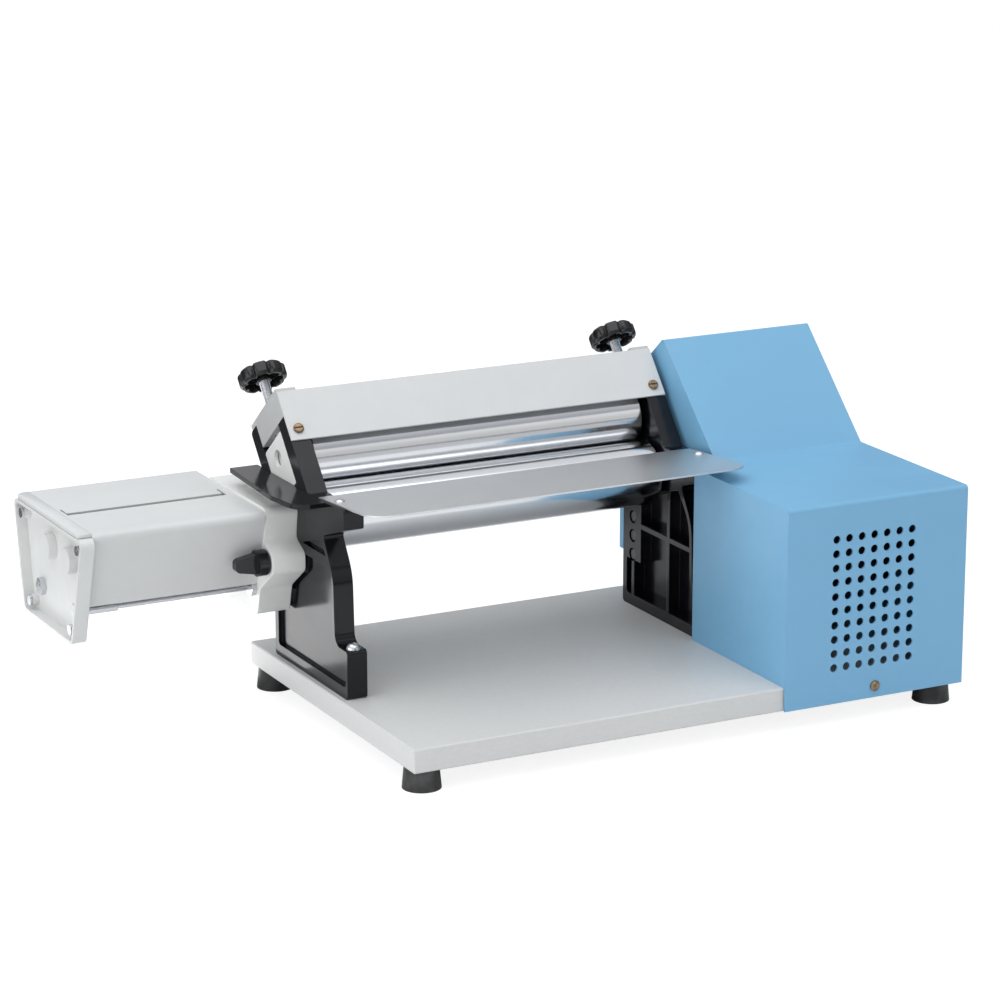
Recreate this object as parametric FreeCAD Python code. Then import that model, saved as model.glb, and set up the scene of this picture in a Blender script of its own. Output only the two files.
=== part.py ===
import FreeCAD, Part
import math
import os
from FreeCAD import Vector

# Fondant sheeter, in millimetres. X runs along the rollers from the cutter attachment
# to the drive housing, Y from the feed side to the back, Z up.
# Sizes are worked from the left front corner of the base board's top face, and the
# whole machine is moved at the end so that its origin is the middle of its footprint.

# Shared clearances and overruns
overrun = 5.0
running_gap = 0.05
slide_gap = 0.12
seat_gap = 0.3

# Base board and feet
base_length = 458.0
base_depth = 287.0
base_thick = 18.0
base_edge_bevel = 1.0
foot_inset_x = 13.5
foot_inset_y = 15.5
foot_height = 16.0
foot_top_radius = 12.8
foot_bottom_radius = 14.3
foot_hole_radius = 2.2
foot_well_radius = 6.0
foot_well_depth = 7.0
foot_screw_head_radius = 4.5
foot_screw_head_height = 3.0
foot_screw_depth = 11.0

# Side frames: two castings that mirror each other about the middle of the rollers
frame_edge = 5.0
frame_pitch = 302.0
frame_thick = 16.0
outer_recess = 3.0
web_thick = 3.5
well_depth = 7.2
well_gap = 1.2
cover_thick = 1.6
thin_rim = 3.2
rim_width = 6.0
foot_rim = 9.0
frame_rear = 250.0
toe_front = 120.5
toe_top = 37.0
leg_front = 141.5
toe_fillet = 8.5
leg_bend_y = 143.8
leg_bend_z = 88.6
leg_bend_radius = 40.0
leg_top_y = 160.8
arm_front = 124.0
arm_rear_top = 140.2
arm_thick = 16.0
arm_drop_degrees = 18.5
rear_straight = 116.0
corner_radius = 3.0
rib_thick = 4.0
side_rib_low = 93.2
side_rib_high = 100.8
upright_rib_y = 179.0
level_rib_z = 68.0
rear_rib_y = 234.0
rear_rib_top = 78.0
column_front = 222.0
column_bottom = 38.0
column_top = 92.0
column_screw_y = 235.0
column_screw_z = 57.5
column_screw_step = 15.5
column_screw_radius = 2.0
column_recess = 3.0
column_recess_radius = 5.2
ear_radius = 28.0

# Fasteners that hold the frames on the base
toe_bolt_y = 127.0
toe_bolt_radius = 3.0
toe_bolt_depth = 12.0
toe_bolt_head_radius = 5.6
toe_bolt_head = 5.0
toe_boss_radius = 5.0
base_screw_y = 232.0
base_screw_radius = 3.0
base_screw_head_radius = 5.5
base_screw_head = 6.0
base_screw_reach = 8.0

# Leaning heads, rollers and their bearings
lean_degrees = 40.0
lower_axis_y = 208.0
lower_axis_z = 116.0
roller_radius = 25.0
roller_gap = 1.0
roller_gap_least = 0.3
roller_side_gap = 3.0
roller_chamfer = 1.0
journal_radius = 8.0
head_half_depth = 32.0
head_rise = 38.0
slot_half = 19.0
block_room = 1.5
block_below = 29.5
block_roof = 5.8
block_wall = 3.0
block_eye_radius = 6.5
block_chamfer = 1.5
block_heel = 5.0
cap_depth = 19.0
cap_plate = 4.0
cap_plate_rear = 28.0
cap_screw_depth = 23.5
cap_screw_radius = 1.6
cap_screw_length = 10.0
cap_screw_front_length = 27.0
bush_wall = 3.0
stub_bush_wall = 2.0
bush_flange_width = 3.5
bush_flange = 2.0
boss_radius = 19.0
bend_radius = 16.0
collar_radius = 12.0

# Adjuster screws and knobs
screw_radius = 4.0
screw_seat = 4.6
knob_radius = 18.7
knob_height = 11.0
knob_rise = 25.5
knob_lobes = 8
knob_groove_radius = 3.0
knob_groove_outset = 0.75
knob_hollow_radius = 14.2
knob_hollow_depth = 5.5
knob_hub_radius = 6.5
knob_round = 2.0

# Gears
pressure_angle = 25.0
gear_backlash = 0.5
sync_teeth = 12
sync_width = 12.0
sync_start = 8.0
drive_module = 2.5
drive_teeth = 32
idler_teeth = 24
pinion_teeth = 12
drive_width = 9.0
drive_start = 23.0
drive_hub = 3.0
drive_hub_radius = 16.0
takeoff_module = 2.0
takeoff_teeth = 14
stub_teeth = 21
takeoff_width = 5.0
takeoff_start = 2.0
addendum_share = 0.95
dedendum_share = 1.25
flank_start_share = 0.004

# Sheet-metal cover bar, feed tray and curved shelf
sheet_thick = 1.5
bar_height = 41.0
bar_lip = 1.0
bar_flange = 17.0
bar_screw_rise = 9.0
tray_left = 7.0
tray_thick = 1.2
tray_front = 78.0
tray_rear = 172.0
tray_slope_degrees = 4.4
tray_corner = 19.0
tray_screw_y = 148.0
tray_screw_radius = 2.0
shelf_top = 141.5
shelf_thick = 3.6
shelf_reach = 27.5
shelf_front = 156.0
shelf_middle = 192.0
shelf_rear = 279.0
shelf_corner = 12.0
shelf_skin = 1.2
shelf_narrow_share = 0.82
shelf_screw_inset = 6.0

# Drive housing
housing_wrap = 3.8
housing_side_gap = 0.5
housing_front_gap = 1.0
housing_rear_inset = 1.0
housing_low_top = 136.5
housing_crease = 145.0
ridge_forward = 13.28
ridge_rise = 60.93
roof_fall_degrees = 39.95
housing_step_gap = 5.0
housing_step_rear = 134.0
housing_bend = 3.0
window_front = 188.0
window_roof_rim = 40.0
window_rear_rim = 20.0
side_flange = 24.0
vent_radius = 3.1
vent_columns = 7
vent_rows = 10
vent_pitch = 11.0
vent_inset = 42.0
vent_bottom = 10.0
screw_head_radius = 4.0
screw_head_height = 2.2
screw_shank_radius = 2.0
screw_slot = 1.0
bracket_angle = 24.0
bracket_plate = 3.0
bracket_half = 24.0

# Motor, gearbox and the plate that carries them
plate_start = 35.0
plate_thick = 4.0
plate_front_reach = 146.0
plate_rear_reach = 32.0
plate_drop = 12.0
plate_foot = 26.0
idler_drop = 42.0
idler_forward = 56.0
pinion_angle_degrees = 17.0
gearbox_half = 34.0
gearbox_length = 30.0
motor_radius = 31.0
motor_length = 58.0
motor_rib_step = 9.5
motor_rib_depth = 2.0
motor_rib_width = 2.7
motor_rib_start = 6.0
stud_radius = 6.0
stud_collar_radius = 9.0
plate_screw_x = 17.0
plate_screw_inset = 13.0
plate_shoulder_z = 52.0
plate_corner = 12.0
shaft_hole_radius = 10.0
shaft_radius = 5.0

# Switch and cable outlet
switch_y = 60.0
switch_z = 70.0
switch_length = 30.0
switch_width = 22.0
switch_rim = 2.5
switch_depth = 16.0
rocker_clear = 1.0
rocker_degrees = 10.0
gland_inset = 60.0
gland_z = 34.0
gland_radius = 7.0
gland_length = 12.0
gland_bore = 3.5

# Cutter attachment
bracket_thick = 26.0
bracket_wall = 4.0
bulge_share = 0.55
bracket_top = 128.0
bracket_front = 204.5
bracket_waist = 208.5
bracket_waist_z = 102.0
bracket_lower_front = 223.0
bracket_shoulder_y = 217.5
bracket_shoulder_z = 63.0
bracket_rear = 313.0
bracket_rear_low = 292.0
bracket_bottom = 41.0
bracket_rear_z = 66.0
ledge_thick = 12.0
ledge_front = 216.0
ledge_rear = 270.0
clamp_y = 204.5
clamp_z = 87.5
clamp_boss_radius = 12.0
clamp_stud_radius = 3.0
clamp_collar_radius = 10.0
clamp_collar = 9.0
clamp_wing = 17.0
clamp_wing_root = 8.0
clamp_wing_tip = 4.5
clamp_wing_half = 3.6
cutter_angle_degrees = 29.34
takeoff_play = 0.1
cutter_spacing = 42.0
cutter_radius = 21.6
cutter_groove_radius = 18.2
cutter_ribs = 10
cutter_rib_width = 6.0
cutter_end_gap = 2.0
cutter_journal_radius = 5.0
cutter_gear_module = 3.0
cutter_gear_width = 8.0
coupling_flats = 7.0
hood_length = 136.0
hood_top = 126.0
hood_front_top = 203.0
hood_rear_top = 344.0
hood_bottom = 66.0
hood_front_low = 223.0
hood_rear_low = 327.0
hood_round = 5.0
slot_front = 262.0
slot_width = 5.4
slot_left_inset = 2.5
slot_right_inset = 6.5
slot_reach = 17.0
slot_end_width = 1.5
end_flange_inset = 4.0
end_flange_width = 14.0
end_depth = 11.0
end_wall = 2.5
end_floor = 3.0
end_recess = 8.0
end_screw_post = 5.0
end_screw_length = 9.8
end_top = 123.0
end_bottom = 38.0
end_front_top = 198.5
end_rear_top = 341.0
end_front_low = 225.0
end_rear_low = 326.0
end_corner = 6.0
end_boss_radius = 10.0
end_boss_height = 6.5
end_boss_wall = 2.5
end_screw_inset = 10.0
rod_radius = 2.2
rod_sleeve_radius = 3.6
rod_sleeve = 26.0
rod_front_y = 229.2
rod_rear_y = 303.0
rod_z = 62.0
nut_radius = 6.8
nut_height = 4.0

# Worked positions
lean = math.radians(lean_degrees)
left_outer = frame_edge
left_inner = frame_edge + frame_thick
right_inner = frame_edge + frame_pitch
right_outer = right_inner + frame_thick
machine_middle = (left_outer + right_outer) / 2
roller_length = right_inner - left_inner - 2 * roller_side_gap
roller_spacing = 2 * roller_radius + roller_gap
block_above = journal_radius + block_roof
slot_bottom = roller_spacing - block_below - block_room
head_top = roller_spacing + head_rise
knob_bottom = head_top + knob_rise
bar_top = head_top + bar_lip
bar_bottom = bar_top - bar_height
bar_screw_reach = bar_bottom + bar_screw_rise
bush_radius = journal_radius + bush_wall
bush_flange_radius = bush_radius + bush_flange_width
stub_bush_radius = shaft_radius + stub_bush_wall
housing_ridge_y = lower_axis_y + roller_spacing * math.sin(lean) - ridge_forward
housing_ridge_z = lower_axis_z + roller_spacing * math.cos(lean) + ridge_rise
housing_left = right_inner - housing_wrap
housing_right = base_length + housing_side_gap + sheet_thick
housing_front = -housing_front_gap - sheet_thick
housing_rear = base_depth - housing_rear_inset
roof_run = housing_rear - housing_ridge_y
housing_back_z = housing_ridge_z - roof_run * math.tan(math.radians(roof_fall_degrees))
housing_step = right_outer + housing_step_gap
vent_left = housing_left + vent_inset
gland_x = housing_right - gland_inset
plate_front = lower_axis_y - plate_front_reach
plate_rear = lower_axis_y - plate_rear_reach
plate_top = lower_axis_z - plate_drop
takeoff_reach = takeoff_module * (takeoff_teeth + stub_teeth) / 2 + takeoff_play
cutter_axis_y = lower_axis_y + takeoff_reach * math.cos(math.radians(cutter_angle_degrees))
cutter_axis_z = lower_axis_z - takeoff_reach * math.sin(math.radians(cutter_angle_degrees))
roller_start = machine_middle - roller_length / 2
roller_end = machine_middle + roller_length / 2
slot_top_reach = head_top - cap_depth
bracket_left = left_outer - bracket_thick
hood_left = bracket_left - hood_length
end_right = hood_left
end_left = end_right - end_depth
tray_right = 2 * machine_middle - tray_left
cutter_rear_y = cutter_axis_y + cutter_spacing

solids = {}


def head(reach, depth):
    """Place (y, z) that lies reach up the lean and depth behind the roller axes."""
    y = lower_axis_y + reach * math.sin(lean) + depth * math.cos(lean)
    z = lower_axis_z + reach * math.cos(lean) - depth * math.sin(lean)
    return (y, z)


def upper_axis():
    return head(roller_spacing, 0)


def block(x_low, x_high, y_low, y_high, z_low, z_high):
    corner = Vector(x_low, y_low, z_low)
    return Part.makeBox(x_high - x_low, y_high - y_low, z_high - z_low, corner)


def rod_x(radius, x_low, x_high, y, z):
    return Part.makeCylinder(radius, x_high - x_low, Vector(x_low, y, z), Vector(1, 0, 0))


def rod_z_axis(radius, z_low, z_high, x, y):
    return Part.makeCylinder(radius, z_high - z_low, Vector(x, y, z_low), Vector(0, 0, 1))


def cone_x(radius_low, radius_high, x_low, x_high, y, z):
    start = Vector(x_low, y, z)
    return Part.makeCone(radius_low, radius_high, x_high - x_low, start, Vector(1, 0, 0))


def rounded_wire(points, radii):
    """Closed wire of lines through the points, each corner rounded by its radius."""
    edges = []
    count = len(points)
    starts = []
    ends = []
    for i in range(count):
        before = points[i - 1]
        here = points[i]
        after = points[(i + 1) % count]
        radius = radii[i]
        if radius == 0:
            starts.append(here)
            ends.append(here)
            continue
        to_before = (before - here).normalize()
        to_after = (after - here).normalize()
        turn = to_before.getAngle(to_after)
        reach = radius / math.tan(turn / 2)
        first = here + to_before * reach
        last = here + to_after * reach
        inward = (to_before + to_after).normalize()
        centre = here + inward * (radius / math.sin(turn / 2))
        middle = centre - inward * radius
        edges.append((i, Part.Arc(first, middle, last).toShape()))
        starts.append(first)
        ends.append(last)
    ordered = []
    arcs = dict(edges)
    for i in range(count):
        if i in arcs:
            ordered.append(arcs[i])
        following = (i + 1) % count
        if (starts[following] - ends[i]).Length > 1e-6:
            ordered.append(Part.makeLine(ends[i], starts[following]))
    return Part.Wire(ordered)


def side_face(pairs, x, radii=None):
    """Face in the plane at x from (y, z) pairs."""
    points = [Vector(x, y, z) for y, z in pairs]
    if radii is None:
        radii = [0] * len(points)
    return Part.Face(rounded_wire(points, radii))


def side_prism(pairs, x_low, x_high, radii=None):
    face = side_face(pairs, x_low, radii)
    return face.extrude(Vector(x_high - x_low, 0, 0))


def plan_prism(pairs, z_low, z_high, radii):
    points = [Vector(x, y, z_low) for x, y in pairs]
    face = Part.Face(rounded_wire(points, radii))
    return face.extrude(Vector(0, 0, z_high - z_low))


def inset(pairs, distance):
    """Corners of a polygon whose sides lie the distance inside the given one."""
    count = len(pairs)
    area = 0
    for i in range(count):
        (a, b), (c, d) = pairs[i], pairs[(i + 1) % count]
        area += a * d - c * b
    side = 1 if area > 0 else -1
    lines = []
    for i in range(count):
        (a, b), (c, d) = pairs[i], pairs[(i + 1) % count]
        length = math.hypot(c - a, d - b)
        nx = -(d - b) / length * side
        ny = (c - a) / length * side
        lines.append((nx, ny, nx * a + ny * b + distance))
    result = []
    for i in range(count):
        p, q, r = lines[i - 1]
        s, t, u = lines[i]
        det = p * t - q * s
        result.append(((r * t - q * u) / det, (p * u - r * s) / det))
    return result


def place_on_lean(shape, x, reach, depth):
    """Turn a shape made along Z at the origin onto the lean, at the given place."""
    y, z = head(reach, depth)
    shape.rotate(Vector(0, 0, 0), Vector(1, 0, 0), -lean_degrees)
    shape.translate(Vector(x, y, z))
    return shape


def lean_box(x_low, x_high, reach_low, reach_high, depth_low, depth_high):
    shape = block(x_low, x_high, depth_low, depth_high, reach_low, reach_high)
    return place_on_lean(shape, 0, 0, 0)


def mirrored(shape):
    """Mirror about the plane halfway between the two frames."""
    return shape.mirror(Vector(machine_middle, 0, 0), Vector(1, 0, 0))


def join(shapes):
    result = shapes[0].multiFuse(shapes[1:])
    return result.removeSplitter()


def keep(name, shape):
    solids[name] = shape


# Gear teeth: involute flanks, each drawn as one arc through three of its points

def involute(angle):
    return math.tan(angle) - angle


def gear_profile(module, teeth, backlash, turn):
    pitch = module * teeth / 2
    angle = math.radians(pressure_angle)
    base = pitch * math.cos(angle)
    tip = pitch + module * addendum_share
    root = pitch - module * dedendum_share
    low = max(base, root) * (1 + flank_start_share)
    half = math.pi / (2 * teeth) - backlash / (4 * pitch)
    flank = []
    for share in (0, 0.5, 1):
        radius = low + (tip - low) * share
        spread = half + involute(angle) - involute(math.acos(base / radius))
        flank.append((radius, spread))
    edges = []

    def point(radius, theta):
        return Vector(0, radius * math.cos(theta), radius * math.sin(theta))

    step = 2 * math.pi / teeth
    for i in range(teeth):
        middle = turn + i * step
        rise = [point(r, middle - s) for r, s in flank]
        fall = [point(r, middle + s) for r, s in reversed(flank)]
        foot_in = point(root, middle - flank[0][1])
        foot_out = point(root, middle + flank[0][1])
        next_in = point(root, middle + step - flank[0][1])
        edges.append(Part.makeLine(foot_in, rise[0]))
        edges.append(Part.Arc(rise[0], rise[1], rise[2]).toShape())
        edges.append(Part.makeLine(rise[2], fall[0]))
        edges.append(Part.Arc(fall[0], fall[1], fall[2]).toShape())
        edges.append(Part.makeLine(fall[2], foot_out))
        edges.append(Part.makeLine(foot_out, next_in))
    return Part.Face(Part.Wire(edges))


def gear_x(module, teeth, x_low, x_high, y, z, turn, backlash=gear_backlash):
    face = gear_profile(module, teeth, backlash, turn)
    face.translate(Vector(x_low, y, z))
    return face.extrude(Vector(x_high - x_low, 0, 0))


def meshing_turn(turn_a, teeth_a, teeth_b, direction):
    """Turn that puts a gap of gear b where a tooth of gear a meets it."""
    phase_a = (direction - turn_a) / (2 * math.pi / teeth_a)
    step_b = 2 * math.pi / teeth_b
    return direction + math.pi + (phase_a + 0.5) * step_b


# Base board and feet

def foot_places():
    places = []
    for x in (foot_inset_x, base_length - foot_inset_x):
        for y in (foot_inset_y, base_depth - foot_inset_y):
            places.append((x, y))
    return places


def make_base():
    board = block(0, base_length, 0, base_depth, -base_thick, 0)
    board = board.makeChamfer(base_edge_bevel, board.Edges)
    for x, y in foot_places():
        board = board.cut(rod_z_axis(foot_hole_radius, -base_thick - overrun,
                                     foot_screw_depth - base_thick, x, y))
    for x in frame_middles():
        board = board.cut(rod_z_axis(base_screw_radius + running_gap,
                                     -base_thick - overrun, overrun, x, base_screw_y))
        board = board.cut(rod_z_axis(base_screw_head_radius + seat_gap,
                                     -base_thick - overrun,
                                     base_screw_head - base_thick, x, base_screw_y))
        board = board.cut(rod_z_axis(toe_bolt_radius + running_gap,
                                     -toe_bolt_depth, overrun, x, toe_bolt_y))
    keep("base_board", board)


def make_feet():
    feet = []
    screws = []
    for x, y in foot_places():
        top = -base_thick
        bottom = top - foot_height
        foot = Part.makeCone(foot_bottom_radius, foot_top_radius, foot_height,
                             Vector(x, y, bottom), Vector(0, 0, 1))
        foot = foot.cut(rod_z_axis(foot_well_radius, bottom - overrun,
                                   bottom + foot_well_depth, x, y))
        foot = foot.cut(rod_z_axis(foot_hole_radius, bottom, top + overrun, x, y))
        feet.append(foot)
        seat = bottom + foot_well_depth
        shank = rod_z_axis(foot_hole_radius, seat, top + foot_screw_depth, x, y)
        cap = rod_z_axis(foot_screw_head_radius, seat - foot_screw_head_height, seat, x, y)
        screws.append(join([shank, cap]))
    keep("rubber_feet", Part.makeCompound(feet))
    keep("feet_screws", Part.makeCompound(screws))


# Fasteners that hold the frames on the base

def frame_middles():
    return ((left_outer + left_inner) / 2, (right_inner + right_outer) / 2)


def dome(radius, height, x, y, z):
    """Low domed head that stands on the plane at z."""
    ball = (radius * radius + height * height) / (2 * height)
    sphere = Part.makeSphere(ball, Vector(x, y, z + height - ball))
    return sphere.common(rod_z_axis(radius, z, z + height + overrun, x, y))


def make_frame_fasteners():
    bolts = []
    screws = []
    for x in frame_middles():
        shank = rod_z_axis(toe_bolt_radius, -toe_bolt_depth, toe_top, x, toe_bolt_y)
        bolts.append(join([shank, dome(toe_bolt_head_radius, toe_bolt_head,
                                       x, toe_bolt_y, toe_top)]))
        cap = rod_z_axis(base_screw_head_radius, -base_thick,
                         -base_thick + base_screw_head, x, base_screw_y)
        stem = rod_z_axis(base_screw_radius, -base_thick, base_screw_reach, x, base_screw_y)
        socket = rod_z_axis(base_screw_radius, -base_thick - overrun,
                            -base_thick + base_screw_head / 2, x, base_screw_y)
        screws.append(join([stem, cap]).cut(socket))
    keep("toe_bolts", Part.makeCompound(bolts))
    keep("frame_screws", Part.makeCompound(screws))


# Side frames

def frame_outline(x):
    """Face of a side frame: foot, leg, forward arm and leaning head."""
    corners = [
        (frame_rear, 0),
        (frame_rear, rear_straight),
        head(head_top, head_half_depth),
        head(head_top, -head_half_depth),
        front_line_at(arm_rear_top),
        (tray_rear, arm_rear_top),
        (arm_front, tray_seat(arm_front)),
        (arm_front, arm_line(arm_front)),
        (leg_top_y, arm_line(leg_top_y)),
        (leg_bend_y, leg_bend_z),
        (leg_front, toe_top),
        (toe_front, toe_top),
        (toe_front, 0),
    ]
    radii = [corner_radius, bend_radius, corner_radius, corner_radius, corner_radius,
             0, corner_radius, corner_radius, corner_radius, leg_bend_radius,
             toe_fillet, corner_radius, corner_radius]
    return side_face(corners, x, radii)


def tray_seat(y):
    """Height of the feed tray's underside, which the arms slope with."""
    return arm_rear_top + (tray_rear - y) * math.tan(math.radians(tray_slope_degrees))


def arm_line(y):
    """Height of the arm's underside, which drops towards the rear."""
    tip = tray_seat(arm_front) - arm_thick
    return tip - (y - arm_front) * math.tan(math.radians(arm_drop_degrees))


def front_line_at(z):
    """Point of the head's front edge at the height z."""
    reach = (z - lower_axis_z - head_half_depth * math.sin(lean)) / math.cos(lean)
    return head(reach, -head_half_depth)


def recess_outline(x):
    """Hollow of the leg, which follows the leg's edge at the thin rim's width."""
    rear = frame_rear - rim_width
    pairs = [
        (rear, foot_rim),
        (rear, arm_line(rear)),
        (leg_top_y + thin_rim, arm_line(leg_top_y + thin_rim) - thin_rim),
        (leg_bend_y + thin_rim, leg_bend_z),
        (leg_front + thin_rim, toe_top - thin_rim),
        (toe_front + thin_rim, toe_top - thin_rim),
        (toe_front + thin_rim, foot_rim),
    ]
    radii = [corner_radius, corner_radius, corner_radius, leg_bend_radius - thin_rim,
             toe_fillet + thin_rim, corner_radius, corner_radius]
    return side_face(pairs, x, radii)


def make_frame(with_ear):
    """Left frame; the right one is its mirror image without the ear."""
    body = frame_outline(left_outer).extrude(Vector(frame_thick, 0, 0))
    if with_ear:
        ear = rod_x(ear_radius, left_outer, left_inner, cutter_axis_y, cutter_axis_z)
        body = body.fuse(ear)
    outer = recess_outline(left_outer - overrun)
    outer = outer.extrude(Vector(overrun + outer_recess, 0, 0))
    web_inner = left_outer + outer_recess + web_thick
    inner = recess_outline(web_inner)
    inner = inner.extrude(Vector(left_inner - web_inner + overrun, 0, 0))
    side_rib = block(left_outer, web_inner, toe_front, frame_rear,
                     side_rib_low, side_rib_high)
    outer_boss = rod_x(boss_radius, left_outer, web_inner, lower_axis_y, lower_axis_z)
    outer = outer.cut(side_rib).cut(outer_boss)
    upright = block(web_inner, left_inner, upright_rib_y - rib_thick / 2,
                    upright_rib_y + rib_thick / 2, 0, lower_axis_z)
    level = block(web_inner, left_inner, toe_front, column_front,
                  level_rib_z - rib_thick / 2, level_rib_z + rib_thick / 2)
    column = block(web_inner, left_inner, column_front, frame_rear,
                   column_bottom, column_top)
    rear_rib = block(web_inner, left_inner, rear_rib_y - rib_thick / 2,
                     rear_rib_y + rib_thick / 2, 0, column_bottom)
    boss = rod_x(boss_radius, web_inner, left_inner, lower_axis_y, lower_axis_z)
    toe_boss = rod_z_axis(toe_boss_radius, 0, toe_top, frame_middles()[0], toe_bolt_y)
    keepers = [upright, level, column, rear_rib, boss, toe_boss]
    if with_ear:
        keepers.append(rod_x(ear_radius, web_inner, left_inner,
                             cutter_axis_y, cutter_axis_z))
        keepers.append(rod_x(clamp_boss_radius, web_inner, left_inner,
                             clamp_y, clamp_z))
        outer = outer.cut(rod_x(clamp_boss_radius, left_outer, web_inner,
                                clamp_y, clamp_z))
    for keeper in keepers:
        inner = inner.cut(keeper)
    body = body.cut(outer).cut(inner)
    if with_ear:
        body = body.cut(gear_well())
    body = body.cut(lean_box(left_outer - overrun, left_inner + overrun, slot_bottom,
                             head_top + overrun, -slot_half, slot_half))
    body = body.cut(lean_box(left_outer - overrun, left_inner + overrun, slot_top_reach,
                             head_top + overrun, -head_half_depth - overrun, -slot_half))
    body = body.cut(rod_x(bush_radius, left_outer - overrun, left_inner + overrun,
                          lower_axis_y, lower_axis_z))
    x = frame_middles()[0]
    body = body.cut(rod_z_axis(toe_bolt_radius + running_gap, -overrun,
                               toe_top + overrun, x, toe_bolt_y))
    return body.cut(rod_z_axis(base_screw_radius + running_gap, -overrun,
                               base_screw_reach, x, base_screw_y))


def takeoff_well_radius():
    return takeoff_module * (takeoff_teeth / 2 + addendum_share) + well_gap


def gear_well():
    """Round hollow of the left frame's outer face for the take-off gear pair."""
    first = takeoff_well_radius()
    second = takeoff_module * (stub_teeth / 2 + addendum_share) + well_gap
    depth = left_outer + well_depth
    well = rod_x(first, left_outer - overrun, depth, lower_axis_y, lower_axis_z)
    return well.fuse(rod_x(second, left_outer - overrun, depth,
                           cutter_axis_y, cutter_axis_z))


def cap_screw_places():
    """Depth and length of the two screws of a head cap."""
    return ((-cap_screw_depth, cap_screw_front_length), (cap_screw_depth, cap_screw_length))


def make_frames():
    left = make_frame(True)
    stub_hole = rod_x(stub_bush_radius, left_outer - overrun,
                      left_inner + overrun, cutter_axis_y, cutter_axis_z)
    left = left.cut(stub_hole)
    clamp_hole = rod_x(clamp_stud_radius + running_gap, left_outer - overrun,
                       left_inner - web_thick / 2, clamp_y, clamp_z)
    left = left.cut(clamp_hole)
    right = mirrored(make_frame(False))
    for z in column_heights():
        right = right.cut(rod_x(column_screw_radius + running_gap,
                                right_inner - overrun, right_outer + overrun,
                                column_screw_y, z))
        right = right.cut(rod_x(column_recess_radius, right_inner - overrun,
                                right_inner + column_recess, column_screw_y, z))
    for depth, length in cap_screw_places():
        for body_x in frame_middles():
            hole = Part.makeCylinder(cap_screw_radius + running_gap, length + overrun,
                                     Vector(0, 0, -length))
            hole = place_on_lean(hole, body_x, head_top, depth)
            if body_x < machine_middle:
                left = left.cut(hole)
            else:
                right = right.cut(hole)
    for index, body_x in enumerate(frame_middles()):
        hole = bar_screw_hole(body_x)
        drop = tray_screw_hole(body_x)
        if index == 0:
            left = left.cut(hole).cut(drop)
        else:
            right = right.cut(hole).cut(drop)
    keep("left_side_frame", left.removeSplitter())
    keep("right_side_frame", right.removeSplitter())


def column_heights():
    return [column_screw_z + column_screw_step * i for i in (-1, 0, 1)]


def tray_screw_hole(x):
    """Hole square to the sloping tray, from above it into the arm."""
    hole = Part.makeCylinder(tray_screw_radius + running_gap, arm_thick / 2 + overrun,
                             Vector(0, 0, -arm_thick / 2))
    hole.rotate(Vector(0, 0, 0), Vector(1, 0, 0), -tray_slope_degrees)
    thick = tray_thick / math.cos(math.radians(tray_slope_degrees))
    hole.translate(Vector(x, tray_screw_y, tray_seat(tray_screw_y) + thick))
    return hole


def bar_screw_hole(x):
    hole = Part.makeCylinder(screw_shank_radius + running_gap, head_half_depth - slot_half,
                             Vector(0, 0, 0), Vector(0, 1, 0))
    hole = place_on_lean(hole, x, bar_screw_reach, -head_half_depth - sheet_thick)
    return hole


# Head caps close the bearing slots and carry the adjuster threads

def make_head_caps():
    caps = []
    screws = []
    for x in frame_middles():
        low = x - frame_thick / 2
        high = x + frame_thick / 2
        plug = lean_box(low, high, slot_top_reach, head_top, -head_half_depth, slot_half)
        plate = lean_box(low, high, head_top, head_top + cap_plate,
                         -head_half_depth, cap_plate_rear)
        cap = join([plug, plate])
        bore = Part.makeCylinder(screw_radius + running_gap,
                                 cap_depth + cap_plate + 2 * overrun)
        cap = cap.cut(place_on_lean(bore, x, slot_top_reach - overrun, 0))
        for depth, length in cap_screw_places():
            bore = Part.makeCylinder(cap_screw_radius + running_gap,
                                     cap_depth + cap_plate + 2 * overrun)
            cap = cap.cut(place_on_lean(bore, x, slot_top_reach - overrun, depth))
            stem = Part.makeCylinder(cap_screw_radius, length + cap_plate,
                                     Vector(0, 0, -length))
            top = Part.makeCylinder(2 * cap_screw_radius, cap_screw_radius,
                                    Vector(0, 0, cap_plate))
            screws.append(place_on_lean(join([stem, top]), x, head_top, depth))
        caps.append(cap)
    keep("head_caps", Part.makeCompound(caps))
    keep("cap_screws", Part.makeCompound(screws))


# Bearings of the lower roller and of the cutter drive stub

def make_bushings():
    left_low = left_outer + well_depth
    tube = rod_x(bush_radius - running_gap, left_low, left_inner,
                 lower_axis_y, lower_axis_z)
    flange = rod_x(bush_flange_radius, left_inner, left_inner + bush_flange,
                   lower_axis_y, lower_axis_z)
    bush = join([tube, flange])
    bush = bush.cut(rod_x(journal_radius + running_gap, left_low - overrun,
                          left_inner + bush_flange + overrun, lower_axis_y, lower_axis_z))
    keep("lower_bushings", Part.makeCompound([bush, mirrored(bush)]))
    stub = rod_x(stub_bush_radius, left_low, left_inner, cutter_axis_y, cutter_axis_z)
    stub = stub.cut(rod_x(shaft_radius + running_gap, left_low - overrun,
                          left_inner + overrun, cutter_axis_y, cutter_axis_z))
    keep("stub_bushing", stub)


# Rollers

def roller_body(y, z):
    body = rod_x(roller_radius, roller_start, roller_end, y, z)
    rims = [edge for edge in body.Edges if len(edge.Vertexes) == 1]
    return body.makeChamfer(roller_chamfer, rims)


def make_lower_roller():
    y, z = lower_axis_y, lower_axis_z
    left_shaft = rod_x(journal_radius, left_outer + takeoff_start, roller_start, y, z)
    end = right_outer + drive_start + drive_width + sheet_thick
    right_shaft = rod_x(journal_radius, roller_end, end, y, z)
    keep("lower_roller", join([roller_body(y, z), left_shaft, right_shaft]))


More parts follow.
